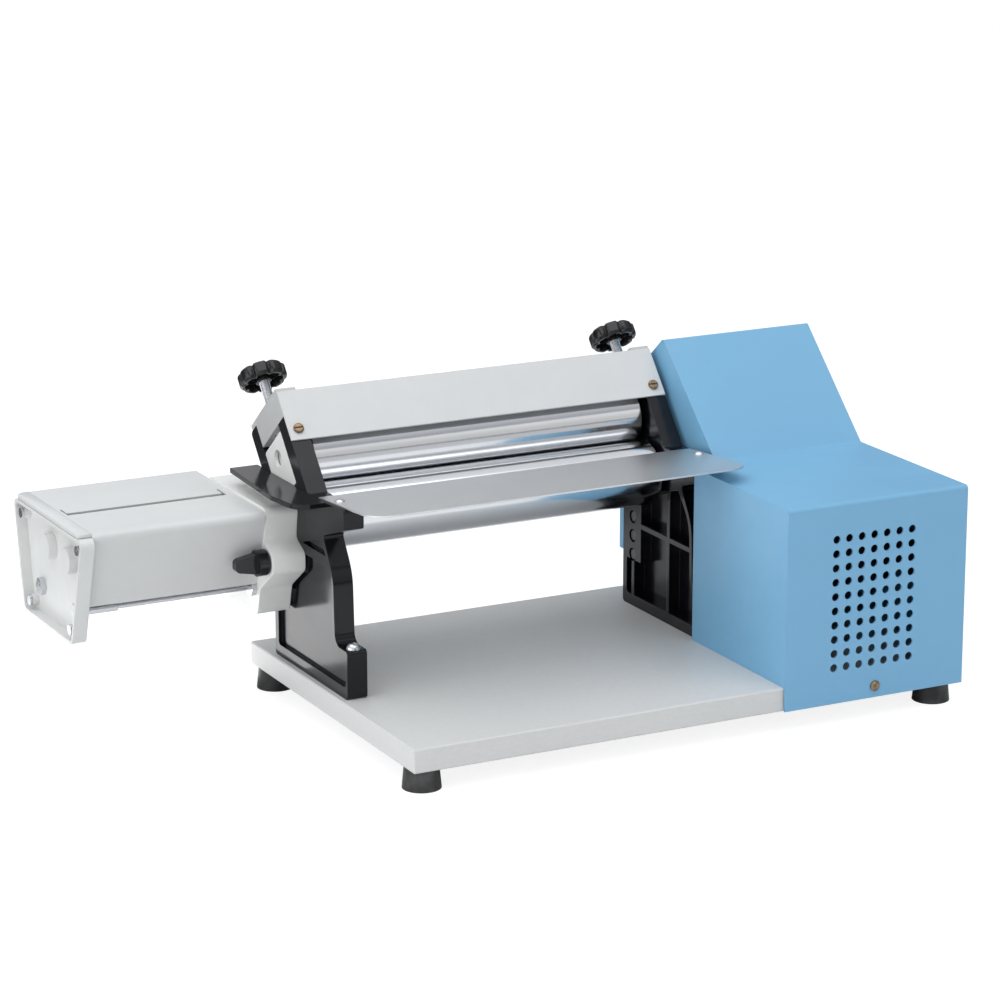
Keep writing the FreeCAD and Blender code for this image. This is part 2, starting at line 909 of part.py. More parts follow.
def make_upper_roller():
    y, z = upper_axis()
    start = left_outer + seat_gap + block_wall + seat_gap
    left_shaft = rod_x(journal_radius, start, roller_start, y, z)
    end = right_outer + sync_start + sync_width + sheet_thick
    right_shaft = rod_x(journal_radius, roller_end, end, y, z)
    keep("upper_roller", join([roller_body(y, z), left_shaft, right_shaft]))


def bearing_block(bore_start):
    """Left sliding block, whose bore begins at the given x."""
    half = slot_half - slide_gap
    low = roller_spacing - block_below
    high = roller_spacing + block_above
    x_low = left_outer + seat_gap
    x_high = left_inner - seat_gap
    pairs = [(-half, low), (half - block_heel, low), (half, low + block_heel),
             (half, high - block_chamfer),
             (half - block_chamfer, high), (block_chamfer - half, high),
             (-half, high - block_chamfer)]
    shape = side_prism(pairs, x_low, x_high)
    shape = place_on_lean(shape, 0, 0, 0)
    y, z = upper_axis()
    shape = join([shape, rod_x(collar_radius, x_high, roller_start - seat_gap, y, z)])
    shape = shape.cut(rod_x(journal_radius + running_gap, bore_start, roller_start, y, z))
    shape = shape.cut(rod_x(block_eye_radius, x_low - overrun, roller_start, y, z))
    seat = Part.makeCylinder(screw_radius + running_gap, screw_seat + overrun)
    seat = place_on_lean(seat, frame_middles()[0], high - screw_seat, 0)
    return shape.cut(seat)


def make_bearing_blocks():
    wall_end = left_outer + seat_gap + block_wall
    keep("left_bearing_block", bearing_block(wall_end))
    keep("right_bearing_block", mirrored(bearing_block(left_outer - overrun)))


# Adjuster screws and their lobed knobs

def make_adjusters():
    for name, x in (("left", frame_middles()[0]), ("right", frame_middles()[1])):
        start = roller_spacing + block_above - screw_seat + seat_gap
        length = knob_bottom + knob_height - knob_round - start
        stem = Part.makeCylinder(screw_radius, length)
        keep(name + "_adjuster_screw", place_on_lean(stem, x, start, 0))
        knob = Part.makeCylinder(knob_radius, knob_height)
        knob = knob.makeChamfer(knob_round, [e for e in knob.Edges if len(e.Vertexes) == 1])
        for i in range(knob_lobes):
            turn = 2 * math.pi * (i + 0.5) / knob_lobes
            reach = knob_radius + knob_groove_outset
            place = Vector(reach * math.cos(turn), reach * math.sin(turn), -overrun)
            groove = Part.makeCylinder(knob_groove_radius, knob_height + 2 * overrun, place)
            knob = knob.cut(groove)
        hollow = Part.makeCylinder(knob_hollow_radius, knob_hollow_depth + overrun,
                                   Vector(0, 0, -overrun))
        hub = Part.makeCylinder(knob_hub_radius, knob_height, Vector(0, 0, -overrun))
        knob = knob.cut(hollow.cut(hub))
        bore = Part.makeCylinder(screw_radius, knob_height + overrun - knob_round,
                                 Vector(0, 0, -overrun))
        knob = knob.cut(bore)
        keep(name + "_adjuster_knob", place_on_lean(knob, x, knob_bottom, 0))


# Gears

def make_sync_gears():
    closed = 2 * roller_radius + roller_gap_least
    module = closed / sync_teeth
    x_low = right_outer + sync_start
    x_high = x_low + sync_width
    toward = math.pi / 2 - lean
    lower = gear_x(module, sync_teeth, x_low, x_high, lower_axis_y, lower_axis_z, toward)
    y, z = upper_axis()
    turn = meshing_turn(toward, sync_teeth, sync_teeth, toward)
    upper = gear_x(module, sync_teeth, x_low, x_high, y, z, turn)
    keep("lower_sync_gear", bored(lower, lower_axis_y, lower_axis_z, journal_radius))
    keep("upper_sync_gear", bored(upper, y, z, journal_radius))


def bored(gear, y, z, radius):
    box = gear.BoundBox
    return gear.cut(rod_x(radius, box.XMin - overrun, box.XMax + overrun, y, z))


def idler_axis():
    reach = drive_module * (drive_teeth + idler_teeth) / 2
    length = math.hypot(idler_forward, idler_drop)
    y = lower_axis_y - idler_forward * reach / length
    z = lower_axis_z - idler_drop * reach / length
    return (y, z)


def pinion_axis():
    y, z = idler_axis()
    reach = drive_module * (idler_teeth + pinion_teeth) / 2
    turn = math.radians(pinion_angle_degrees)
    return (y - reach * math.cos(turn), z - reach * math.sin(turn))


def direction_between(a, b):
    return math.atan2(b[1] - a[1], b[0] - a[0])


def make_drive_gears():
    x_low = right_outer + drive_start
    x_high = x_low + drive_width
    lower = (lower_axis_y, lower_axis_z)
    idler = idler_axis()
    pinion = pinion_axis()
    to_idler = direction_between(lower, idler)
    wheel = gear_x(drive_module, drive_teeth, x_low, x_high, lower[0], lower[1], to_idler)
    hub = rod_x(drive_hub_radius, x_low - drive_hub, x_high, lower[0], lower[1])
    wheel = join([wheel, hub])
    keep("roller_drive_gear", bored(wheel, lower[0], lower[1], journal_radius))
    idler_turn = meshing_turn(to_idler, drive_teeth, idler_teeth, to_idler)
    middle = gear_x(drive_module, idler_teeth, x_low, x_high, idler[0], idler[1], idler_turn)
    keep("idler_gear", bored(middle, idler[0], idler[1], stud_radius + running_gap))
    to_pinion = direction_between(idler, pinion)
    pinion_turn = meshing_turn(idler_turn, idler_teeth, pinion_teeth, to_pinion)
    small = gear_x(drive_module, pinion_teeth, x_low, x_high, pinion[0], pinion[1],
                   pinion_turn)
    shaft_end = right_outer + plate_start + plate_thick + gearbox_length / 2
    shaft = rod_x(shaft_radius, x_low, shaft_end, pinion[0], pinion[1])
    keep("motor_pinion", join([small, shaft]))


def make_drive_plate():
    x_low = right_outer + plate_start
    x_high = x_low + plate_thick
    idler = idler_axis()
    pinion = pinion_axis()
    corners = [(plate_front, 0), (plate_rear, 0), (plate_rear, plate_shoulder_z),
               (idler[0] + plate_corner, plate_top), (plate_front, plate_top)]
    radii = [0, 0, plate_corner, plate_corner, stud_radius]
    plate = side_prism(corners, x_low, x_high, radii)
    foot = block(x_low, x_low + plate_foot, plate_front, plate_rear, 0, plate_thick)
    plate = join([plate, foot])
    plate = plate.cut(rod_x(shaft_hole_radius, x_low - overrun, x_high + overrun, *pinion))
    plate = plate.cut(rod_x(stud_radius, x_low - overrun, x_high + overrun, *idler))
    screws = []
    x = x_low + plate_screw_x
    for y in (plate_front + plate_screw_inset, plate_rear - plate_screw_inset):
        plate = plate.cut(rod_z_axis(screw_shank_radius + running_gap, -overrun,
                                     plate_thick + overrun, x, y))
        screws.append(pan_screw(x, y, plate_thick, plate_thick + foot_screw_depth))
    keep("drive_plate", plate)
    board = solids["base_board"]
    for y in (plate_front + plate_screw_inset, plate_rear - plate_screw_inset):
        board = board.cut(rod_z_axis(screw_shank_radius + running_gap, -foot_screw_depth,
                                     overrun, x, y))
    keep("base_board", board)
    keep("drive_plate_screws", Part.makeCompound(screws))
    start = right_outer + drive_start
    stud = rod_x(stud_radius, start - drive_hub, x_high, *idler)
    washer = rod_x(stud_collar_radius, start - drive_hub, start - slide_gap, *idler)
    spacer = rod_x(stud_collar_radius, start + drive_width + slide_gap, x_low, *idler)
    keep("idler_stud", join([stud, washer, spacer]))


def pan_screw(x, y, z, length):
    """Vertical slotted screw whose head stands on the plane at z."""
    stem = rod_z_axis(screw_shank_radius, z - length, z, x, y)
    top = dome(screw_head_radius, screw_head_height, x, y, z)
    slot = block(x - screw_head_radius, x + screw_head_radius, y - screw_slot / 2,
                 y + screw_slot / 2, z + screw_head_height / 2,
                 z + screw_head_height + overrun)
    return join([stem, top]).cut(slot)


def make_motor():
    y, z = pinion_axis()
    x_low = right_outer + plate_start + plate_thick
    x_high = x_low + gearbox_length
    half = gearbox_half
    corners = [(y - half, z - half), (y + half, z - half), (y + half, z + half),
               (y - half, z + half)]
    box = side_prism(corners, x_low, x_high, [stud_radius] * 4)
    box = box.cut(rod_x(shaft_radius + running_gap, x_low - overrun,
                        x_low + gearbox_length / 2 + seat_gap, y, z))
    keep("gearbox", box)
    motor = rod_x(motor_radius, x_high, x_high + motor_length, y, z)
    count = int((motor_length - motor_rib_step) / motor_rib_step)
    for i in range(count):
        at = x_high + motor_rib_start + motor_rib_step * i
        ring = rod_x(motor_radius + overrun, at, at + motor_rib_width, y, z)
        ring = ring.cut(rod_x(motor_radius - motor_rib_depth, at - overrun,
                              at + overrun, y, z))
        motor = motor.cut(ring)
    keep("motor_body", motor)
    screws = []
    plate_x = right_outer + plate_start
    reach = half - stud_radius
    for dy, dz in ((-reach, -reach), (reach, -reach), (-reach, reach), (reach, reach)):
        stem = rod_x(screw_shank_radius, plate_x, x_low + foot_screw_depth, y + dy, z + dz)
        top = rod_x(screw_head_radius, plate_x - screw_head_height, plate_x, y + dy, z + dz)
        screws.append(join([stem, top]))
        bore = rod_x(screw_shank_radius + running_gap, plate_x - overrun,
                     x_low + foot_screw_depth, y + dy, z + dz)
        solids["gearbox"] = solids["gearbox"].cut(bore)
        solids["drive_plate"] = solids["drive_plate"].cut(bore)
    keep("gearbox_screws", Part.makeCompound(screws))


# Cover bar, feed tray and curved shelf

def make_cover_bar():
    face = lean_box(left_outer, right_outer, bar_bottom, bar_top,
                    -head_half_depth - sheet_thick, -head_half_depth)
    flange = lean_box(left_inner + seat_gap, right_inner - seat_gap,
                      bar_top - sheet_thick, bar_top,
                      -head_half_depth - sheet_thick, -head_half_depth + bar_flange)
    bar = join([face, flange])
    screws = []
    for x in frame_middles():
        hole = bar_screw_hole(x)
        bar = bar.cut(hole)
        stem = Part.makeCylinder(screw_shank_radius, head_half_depth - slot_half,
                                 Vector(0, 0, 0), Vector(0, 1, 0))
        ball = Part.makeCylinder(screw_head_radius, screw_head_height,
                                 Vector(0, 0, 0), Vector(0, -1, 0))
        ball = ball.makeFillet(screw_head_height / 2, [ball.Edges[0]])
        slot = block(-screw_head_radius, screw_head_radius,
                     -screw_head_height - overrun, -screw_head_height / 2,
                     -screw_slot / 2, screw_slot / 2)
        screw = join([stem, ball]).cut(slot)
        screws.append(place_on_lean(screw, x, bar_screw_reach,
                                    -head_half_depth - sheet_thick))
    keep("cover_bar", bar)
    keep("cover_bar_screws", Part.makeCompound(screws))


def make_tray():
    slope = math.radians(tray_slope_degrees)
    rise = (tray_rear - tray_front) * math.tan(slope)
    thick = tray_thick / math.cos(slope)
    section = [(tray_rear, arm_rear_top), (tray_rear, arm_rear_top + thick),
               (tray_front, arm_rear_top + rise + thick), (tray_front, arm_rear_top + rise)]
    tray = side_prism(section, tray_left, tray_right)
    plan = [(tray_left, tray_rear + overrun), (tray_right, tray_rear + overrun),
            (tray_right, tray_front), (tray_left, tray_front)]
    tray = tray.common(plan_prism(plan, 0, 2 * arm_rear_top,
                                  [0, 0, tray_corner, tray_corner]))
    top = tray_seat(tray_screw_y) + thick
    screws = []
    for x in frame_middles():
        tray = tray.cut(tray_screw_hole(x))
        screw = pan_screw(0, 0, 0, arm_thick / 2)
        screw.rotate(Vector(0, 0, 0), Vector(1, 0, 0), -tray_slope_degrees)
        screw.translate(Vector(x, tray_screw_y, top))
        screws.append(screw)
    keep("feed_tray", tray)
    keep("tray_screws", Part.makeCompound(screws))


def make_shelf():
    """Curved shelf over the gears, screwed from below through the bracket's ledge."""
    narrow = left_outer - shelf_reach * shelf_narrow_share
    corners = [(left_outer, shelf_front), (left_outer, shelf_rear), (narrow, shelf_rear),
               (left_outer - shelf_reach, shelf_middle), (narrow, shelf_front)]
    radii = [0, 0, 0, 2 * shelf_corner, shelf_corner]
    low = shelf_top - shelf_thick
    shelf = plan_prism(corners, low, shelf_top, radii)
    seat = bracket_top - bracket_wall
    x = left_outer - ledge_thick / 2
    screws = []
    for y in (ledge_front + shelf_screw_inset, ledge_rear - shelf_screw_inset):
        bore = rod_z_axis(screw_shank_radius + running_gap, seat - overrun,
                          shelf_top - shelf_skin, x, y)
        shelf = shelf.cut(bore)
        solids["cutter_bracket"] = solids["cutter_bracket"].cut(bore)
        stem = rod_z_axis(screw_shank_radius, seat, shelf_top - shelf_skin, x, y)
        top = rod_z_axis(screw_head_radius, seat - screw_head_height, seat, x, y)
        screws.append(join([stem, top]))
    keep("gear_shelf", shelf)
    keep("gear_shelf_screws", Part.makeCompound(screws))


# Drive housing: one folded cover, low over the motor and high over the gears

def housing_section(distance):
    pairs = [(housing_front, -base_thick), (housing_rear, -base_thick),
             (housing_rear, housing_back_z), (housing_ridge_y, housing_ridge_z),
             (housing_crease, housing_low_top), (housing_front, housing_low_top)]
    return inset(pairs, distance) if distance else pairs


def roof_line(first, last, rim, y):
    """Height at y of the line that lies the rim's width below a roof slope."""
    slope = (last[1] - first[1]) / (last[0] - first[0])
    return first[1] + (y - first[0]) * slope - rim * math.hypot(1, slope)


def window_corners():
    """Opening of the inner side wall, open below so that it clears both shafts."""
    crease = (housing_crease, housing_low_top)
    ridge = (housing_ridge_y, housing_ridge_z)
    back = (housing_rear, housing_back_z)
    rise = (ridge[1] - crease[1]) / (ridge[0] - crease[0])
    fall = (back[1] - ridge[1]) / (back[0] - ridge[0])
    start = roof_line(crease, ridge, window_roof_rim, 0)
    stop = roof_line(ridge, back, window_rear_rim, 0)
    peak = (stop - start) / (rise - fall)
    rear = housing_rear - side_flange
    return [(window_front, -base_thick - overrun), (rear, -base_thick - overrun),
            (rear, stop + rear * fall), (peak, start + peak * rise),
            (window_front, start + window_front * rise)]


def make_housing():
    bend = housing_bend
    outer = side_prism(housing_section(0), housing_left, housing_right,
                       [0, 0, bend, bend, bend, bend])
    step = block(housing_left - overrun, housing_step, housing_step_rear,
                 housing_rear + overrun, -base_thick - overrun, housing_ridge_z + overrun)
    outer = outer.cut(step)
    inner_pairs = housing_section(sheet_thick)
    low_y, low_z = inner_pairs[0]
    inner_pairs[0] = (low_y, -base_thick - overrun)
    inner_pairs[1] = (inner_pairs[1][0], -base_thick - overrun)
    inner = side_prism(inner_pairs, housing_left + sheet_thick,
                       housing_right - sheet_thick,
                       [0, 0] + [bend - sheet_thick] * 4)
    inner_step = block(housing_left - overrun, housing_step + sheet_thick,
                       housing_step_rear + overrun, housing_rear + overrun,
                       -base_thick - overrun, housing_ridge_z + overrun)
    inner = inner.cut(inner_step)
    shell = outer.cut(inner)
    under = block(housing_left - overrun, base_length + seat_gap, housing_front + sheet_thick,
                  housing_rear + overrun, -base_thick - overrun, 0)
    shell = shell.cut(under)
    window = side_prism(window_corners(), housing_step - overrun,
                        housing_step + sheet_thick + overrun)
    shell = shell.cut(window)
    relief = block(housing_step - overrun, housing_step + sheet_thick + overrun,
                   housing_rear - side_flange - overrun, housing_rear - sheet_thick,
                   column_screw_z - bracket_half - seat_gap,
                   column_screw_z + bracket_half + seat_gap)
    shell = shell.cut(relief)
    notch = block(right_inner - 2 * seat_gap, right_outer + 2 * seat_gap,
                  arm_front - 2 * seat_gap, housing_step_rear + overrun,
                  housing_low_top - overrun, housing_low_top + overrun)
    shell = shell.cut(notch)
    holes = []
    for column in range(vent_columns):
        for row in range(vent_rows):
            x = vent_left + column * vent_pitch
            z = vent_bottom + row * vent_pitch
            holes.append(Part.makeCylinder(vent_radius, 2 * overrun,
                                           Vector(x, housing_front - overrun, z),
                                           Vector(0, 1, 0)))
    shell = shell.cut(Part.makeCompound(holes))
    half_x = switch_width / 2
    half_z = switch_length / 2
    shell = shell.cut(block(housing_right - 2 * overrun, housing_right + overrun,
                            switch_y - half_x, switch_y + half_x,
                            switch_z - half_z, switch_z + half_z))
    shell = shell.cut(Part.makeCylinder(gland_radius, 4 * overrun,
                                        Vector(gland_x, housing_rear - 2 * overrun, gland_z),
                                        Vector(0, 1, 0)))
    screws = []
    for x, y, axis in housing_screw_places():
        start = Vector(x, y, housing_screw_z_at(axis))
        shank = Part.makeCylinder(screw_shank_radius, 2 * overrun, start, axis * -1)
        top = Part.makeCylinder(screw_head_radius, screw_head_height, start, axis)
        top = top.makeChamfer(screw_head_height / 2, [top.Edges[0]])
        screws.append(join([shank, top]))
        bore = Part.makeCylinder(screw_shank_radius + running_gap, 4 * overrun,
                                 start + axis * overrun, axis * -1)
        shell = shell.cut(bore)
        if axis.y < 0:
            solids["base_board"] = solids["base_board"].cut(bore)
        if axis.x > 0:
            solids["base_board"] = solids["base_board"].cut(bore)
    keep("housing_shell", shell)
    keep("housing_screws", Part.makeCompound(screws))


def housing_screw_places():
    middle = (housing_left + housing_right) / 2
    return ((middle, housing_front, Vector(0, -1, 0)),
            (housing_right, housing_crease / 2, Vector(1, 0, 0)),
            (housing_right, housing_rear - housing_crease / 2, Vector(1, 0, 0)),
            (right_outer + bracket_angle / 2, housing_rear, Vector(0, 1, 0)))


def housing_screw_z_at(axis):
    if axis.y > 0:
        return column_screw_z
    return -base_thick / 2


def make_housing_bracket():
    """Angle on the right frame's rear column that the housing's back is screwed to."""
    low = column_screw_z - bracket_half
    high = column_screw_z + bracket_half
    side = block(right_outer, right_outer + bracket_plate, column_front,
                 housing_rear - sheet_thick, low, high)
    back = block(right_outer, right_outer + bracket_angle,
                 housing_rear - sheet_thick - bracket_plate, housing_rear - sheet_thick,
                 low, high)
    bracket = join([side, back])
    screws = []
    for z in column_heights():
        bracket = bracket.cut(rod_x(column_screw_radius + running_gap,
                                    right_outer - overrun, right_outer + overrun,
                                    column_screw_y, z))
        seat = right_inner + column_recess
        stem = rod_x(column_screw_radius, seat, right_outer + bracket_plate,
                     column_screw_y, z)
        top = rod_x(screw_head_radius, seat - screw_head_height, seat, column_screw_y, z)
        screws.append(join([stem, top]))
    bracket = bracket.cut(Part.makeCylinder(screw_shank_radius + running_gap, 4 * overrun,
                                            Vector(right_outer + bracket_angle / 2,
                                                   housing_rear - 2 * overrun,
                                                   column_screw_z), Vector(0, 1, 0)))
    keep("housing_bracket", bracket)
    keep("column_screws", Part.makeCompound(screws))


def make_switch():
    half_y = switch_width / 2
    half_z = switch_length / 2
    rim = block(housing_right, housing_right + switch_rim, switch_y - half_y - switch_rim,
                switch_y + half_y + switch_rim, switch_z - half_z - switch_rim,
                switch_z + half_z + switch_rim)
    can = block(housing_right - switch_depth, housing_right, switch_y - half_y + seat_gap,
                switch_y + half_y - seat_gap, switch_z - half_z + seat_gap,
                switch_z + half_z - seat_gap)
    frame = join([rim, can])
    inner_y = half_y - switch_rim
    inner_z = half_z - switch_rim
    pocket = block(housing_right - switch_depth / 2, housing_right + overrun,
                   switch_y - inner_y, switch_y + inner_y, switch_z - inner_z,
                   switch_z + inner_z)
    keep("switch_frame", frame.cut(pocket))
    reach = switch_rim + rocker_clear
    half = inner_z - 2 * rocker_clear
    profile = [(housing_right - overrun, switch_z - half),
               (housing_right + reach, switch_z - half),
               (housing_right + rocker_clear, switch_z),
               (housing_right + reach, switch_z + half),
               (housing_right - overrun, switch_z + half)]
    points = [Vector(x, switch_y - inner_y + seat_gap, z) for x, z in profile]
    face = Part.Face(Part.makePolygon(points + [points[0]]))
    rocker = face.extrude(Vector(0, 2 * (inner_y - seat_gap), 0))
    rocker = rocker.common(rod_along_y(half + rocker_clear, switch_y - inner_y,
                                 switch_y + inner_y, housing_right, switch_z))
    rocker.rotate(Vector(housing_right, switch_y, switch_z), Vector(0, 1, 0),
                  -rocker_degrees)
    keep("switch_rocker", rocker)


def rod_along_y(radius, y_low, y_high, x, z):
    return Part.makeCylinder(radius, y_high - y_low, Vector(x, y_low, z), Vector(0, 1, 0))


def make_gland():
    nut = Part.makeCylinder(gland_radius + 2 * switch_rim, gland_length / 2,
                            Vector(gland_x, housing_rear, gland_z), Vector(0, 1, 0))
    stem = Part.makeCylinder(gland_radius - running_gap, gland_length,
                             Vector(gland_x, housing_rear - gland_length, gland_z),
                             Vector(0, 1, 0))
    dome_end = Part.makeCone(gland_radius + switch_rim, gland_radius - switch_rim,
                             gland_length / 2,
                             Vector(gland_x, housing_rear + gland_length / 2, gland_z),
                             Vector(0, 1, 0))
    bore = Part.makeCylinder(gland_bore, 4 * gland_length,
                             Vector(gland_x, housing_rear - 2 * gland_length, gland_z),
                             Vector(0, 1, 0))
    keep("cable_gland", join([nut, stem, dome_end]).cut(bore))


# Cutter attachment

def bracket_corners():
    bulge = clamp_y - clamp_boss_radius
    reach = clamp_boss_radius * bulge_share
    return [(bracket_front, bracket_top), (bracket_waist, bracket_waist_z),
            (bulge, clamp_z + reach), (bulge, clamp_z - reach),
            (bracket_shoulder_y, bracket_shoulder_z),
            (bracket_lower_front, bracket_bottom),
            (bracket_rear_low, bracket_bottom), (bracket_rear, bracket_rear_z),
            (bracket_rear, bracket_top)]


def make_cutter_bracket():
    corners = bracket_corners()
    big = end_corner
    radii = [big, big, big, big, big, big, 2 * big, 2 * big, big]
    body = side_prism(corners, bracket_left, left_outer, radii)
    ledge = block(left_outer - ledge_thick, left_outer, ledge_front, ledge_rear,
                  bracket_top - bracket_wall, shelf_top - shelf_thick)
    body = body.fuse(ledge)
    hollow = side_prism(inset(corners, bracket_wall), bracket_left + bracket_wall,
                        left_outer + overrun, [big / 2] * len(corners))
    core = rod_x(clamp_stud_radius + bracket_wall, bracket_left, left_outer,
                 clamp_y, clamp_z)
    rod_bosses = [rod_x(rod_radius + bracket_wall, bracket_left, left_outer, y, rod_z)
                  for y in (rod_front_y, rod_rear_y)]
    for keeper in [core] + rod_bosses:
        hollow = hollow.cut(keeper)
    body = body.cut(hollow)
    body = body.cut(rod_x(clamp_stud_radius + running_gap, bracket_left - overrun,
                          left_outer + overrun, clamp_y, clamp_z))
    for y in (cutter_axis_y, cutter_rear_y):
        body = body.cut(rod_x(cutter_journal_radius + running_gap, bracket_left - overrun,
                              bracket_left + bracket_wall + overrun, y, cutter_axis_z))
    for y in (rod_front_y, rod_rear_y):
        body = body.cut(rod_x(rod_radius + running_gap, bracket_left - overrun,
                              left_outer - bracket_wall, y, rod_z))
    keep("cutter_bracket", body.removeSplitter())


def make_hood():
    corners = [(hood_front_low, hood_bottom), (hood_rear_low, hood_bottom),
               (hood_rear_top, hood_top), (hood_front_top, hood_top)]
    outer = side_prism(corners, hood_left, bracket_left, [0, 0, hood_round, hood_round])
    inner_pairs = inset(corners, sheet_thick)
    lift = overrun
    slope_front = (hood_front_top - hood_front_low) / (hood_top - hood_bottom)
    slope_rear = (hood_rear_top - hood_rear_low) / (hood_top - hood_bottom)
    low = hood_bottom - lift
    drop = inner_pairs[2][1] - low
    inner_pairs[0] = (inner_pairs[3][0] - slope_front * drop, low)
    inner_pairs[1] = (inner_pairs[2][0] - slope_rear * drop, low)
    inner = side_prism(inner_pairs, hood_left - overrun, bracket_left + overrun,
                       [0, 0, hood_round - sheet_thick, hood_round - sheet_thick])
    hood = outer.cut(inner)
    for x_low, x_high, y_high in (
            (hood_left + slot_left_inset, bracket_left - slot_right_inset, slot_front + slot_width),
            (hood_left + slot_left_inset, hood_left + slot_left_inset + slot_end_width,
             slot_front + slot_reach),
            (bracket_left - slot_right_inset - slot_end_width, bracket_left - slot_right_inset,
             slot_front + slot_reach)):
        hood = hood.cut(block(x_low, x_high, slot_front, y_high,
                              hood_top - overrun, hood_top + overrun))
    keep("cutter_hood", join([hood, end_flange()]))


def end_flange():
    """Ring at the hood's open end that the end plate's screws go into."""
    outer = inset(end_corners(), end_flange_inset)
    inner = inset(end_corners(), end_flange_inset + end_flange_width)
    ring = side_prism(outer, hood_left, hood_left + sheet_thick, [end_corner / 2] * 4)
    ring = ring.cut(side_prism(inner, hood_left - overrun, hood_left + overrun,
                               [end_corner] * 4))
    for y in (rod_front_y, rod_rear_y):
        ring = ring.cut(rod_x(rod_sleeve_radius + seat_gap, hood_left - overrun,
                              hood_left + overrun, y, rod_z))
    for y, z in end_screw_places():
        ring = ring.cut(rod_x(screw_shank_radius + running_gap, hood_left - overrun,
                              hood_left + overrun, y, z))
    return ring


def end_corners():
    return [(end_front_low, end_bottom), (end_rear_low, end_bottom),
            (end_rear_top, end_top), (end_front_top, end_top)]


def end_screw_places():
    return inset(end_corners(), end_screw_inset)


def make_end_plate():
    corners = end_corners()
    floor = end_left + end_recess
    plate = side_prism(corners, end_left, end_right, [end_corner] * 4)
    hollow = side_prism(inset(corners, end_wall), end_left - overrun, floor,
                        [end_corner - end_wall] * 4)
    for y in (cutter_axis_y, cutter_rear_y):
        hollow = hollow.cut(rod_x(end_boss_radius, floor - end_boss_height, floor,
                                  y, cutter_axis_z))
    for y, z in end_screw_places():
        hollow = hollow.cut(rod_x(screw_head_radius, floor - end_screw_post, floor, y, z))
    plate = plate.cut(hollow)
    for y in (cutter_axis_y, cutter_rear_y):
        plate = plate.cut(rod_x(cutter_journal_radius + running_gap,
                                floor - end_boss_height + end_boss_wall,
                                end_right + overrun, y, cutter_axis_z))
    for y in (rod_front_y, rod_rear_y):
        plate = plate.cut(rod_x(rod_radius + running_gap, end_left - overrun,
                                end_right + overrun, y, rod_z))
    screws = []
    seat = floor - end_screw_post
    for y, z in end_screw_places():
        plate = plate.cut(rod_x(screw_shank_radius + running_gap, end_left - overrun,
                                end_right + overrun, y, z))
        stem = rod_x(screw_shank_radius, seat, seat + end_screw_length, y, z)
        top = rod_x(screw_head_radius, seat - screw_head_height, seat, y, z)
        screws.append(join([stem, top]))
    keep("cutter_end_plate", plate)
    keep("end_plate_screws", Part.makeCompound(screws))


def make_tie_rods():
    rods = []
    nuts = []
    floor = end_left + end_recess
    for y in (rod_front_y, rod_rear_y):
        stem = rod_x(rod_radius, floor - nut_height, left_outer - bracket_wall, y, rod_z)
        sleeve = rod_x(rod_sleeve_radius, end_right, end_right + rod_sleeve, y, rod_z)
        rods.append(join([stem, sleeve]))
        for x_low in (bracket_left - nut_height, floor - nut_height):
            nut = hexagon_x(nut_radius, x_low, x_low + nut_height, y, rod_z)
            nuts.append(nut.cut(rod_x(rod_radius, x_low - overrun,
                                      x_low + nut_height + overrun, y, rod_z)))
    keep("tie_rods", Part.makeCompound(rods))
    keep("tie_rod_nuts", Part.makeCompound(nuts))


def hexagon_x(radius, x_low, x_high, y, z):
    pairs = []
    for i in range(6):
        turn = math.pi * i / 3
        pairs.append((y + radius * math.cos(turn), z + radius * math.sin(turn)))
    return side_prism(pairs, x_low, x_high)


def make_cutter_rollers():
    """Two interleaved ribbed rollers: the ribs of one stand in the grooves of the other."""
    start = hood_left + cutter_end_gap
    stop = bracket_left - cutter_end_gap
    pitch = (stop - start) / cutter_ribs
    for name, y, shift in (("front", cutter_axis_y, 0), ("rear", cutter_rear_y, 0.5)):
        profile = [Vector(start, 0, 0), Vector(start, cutter_groove_radius, 0)]
        for i in range(cutter_ribs):
            low = start + (i + shift) * pitch + (pitch / 2 - cutter_rib_width) / 2
            high = low + cutter_rib_width
            profile.append(Vector(low, cutter_groove_radius, 0))
            profile.append(Vector(low, cutter_radius, 0))
            profile.append(Vector(high, cutter_radius, 0))
            profile.append(Vector(high, cutter_groove_radius, 0))
        profile.append(Vector(stop, cutter_groove_radius, 0))
        profile.append(Vector(stop, 0, 0))
        face = Part.Face(Part.makePolygon(profile + [profile[0]]))
        body = face.revolve(Vector(0, 0, 0), Vector(1, 0, 0), 360)
        body.translate(Vector(0, y, cutter_axis_z))
        shaft_end = cutter_gear_end() + slide_gap
        shaft_start = end_left + end_recess - end_boss_height + end_boss_wall + seat_gap
        shaft = rod_x(cutter_journal_radius, shaft_start, shaft_end, y, cutter_axis_z)
        parts = [body, shaft]
        if name == "front":
            flats = coupling_flats / math.sqrt(3)
            parts.append(hexagon_x(flats, shaft_end, left_outer + takeoff_start,
                                   y, cutter_axis_z))
        keep(name + "_cutter_roller", join(parts))


def cutter_gear_end():
    return bracket_left + bracket_wall + end_wall + cutter_gear_width


def make_cutter_gears():
    teeth = round(cutter_spacing / cutter_gear_module)
    x_high = cutter_gear_end()
    x_low = x_high - cutter_gear_width
    front = gear_x(cutter_gear_module, teeth, x_low, x_high, cutter_axis_y, cutter_axis_z, 0)
    turn = meshing_turn(0, teeth, teeth, 0)
    rear = gear_x(cutter_gear_module, teeth, x_low, x_high, cutter_rear_y, cutter_axis_z,
                  turn)
    keep("front_cutter_gear", bored(front, cutter_axis_y, cutter_axis_z,
                                    cutter_journal_radius))
    keep("rear_cutter_gear", bored(rear, cutter_rear_y, cutter_axis_z,
                                   cutter_journal_radius))


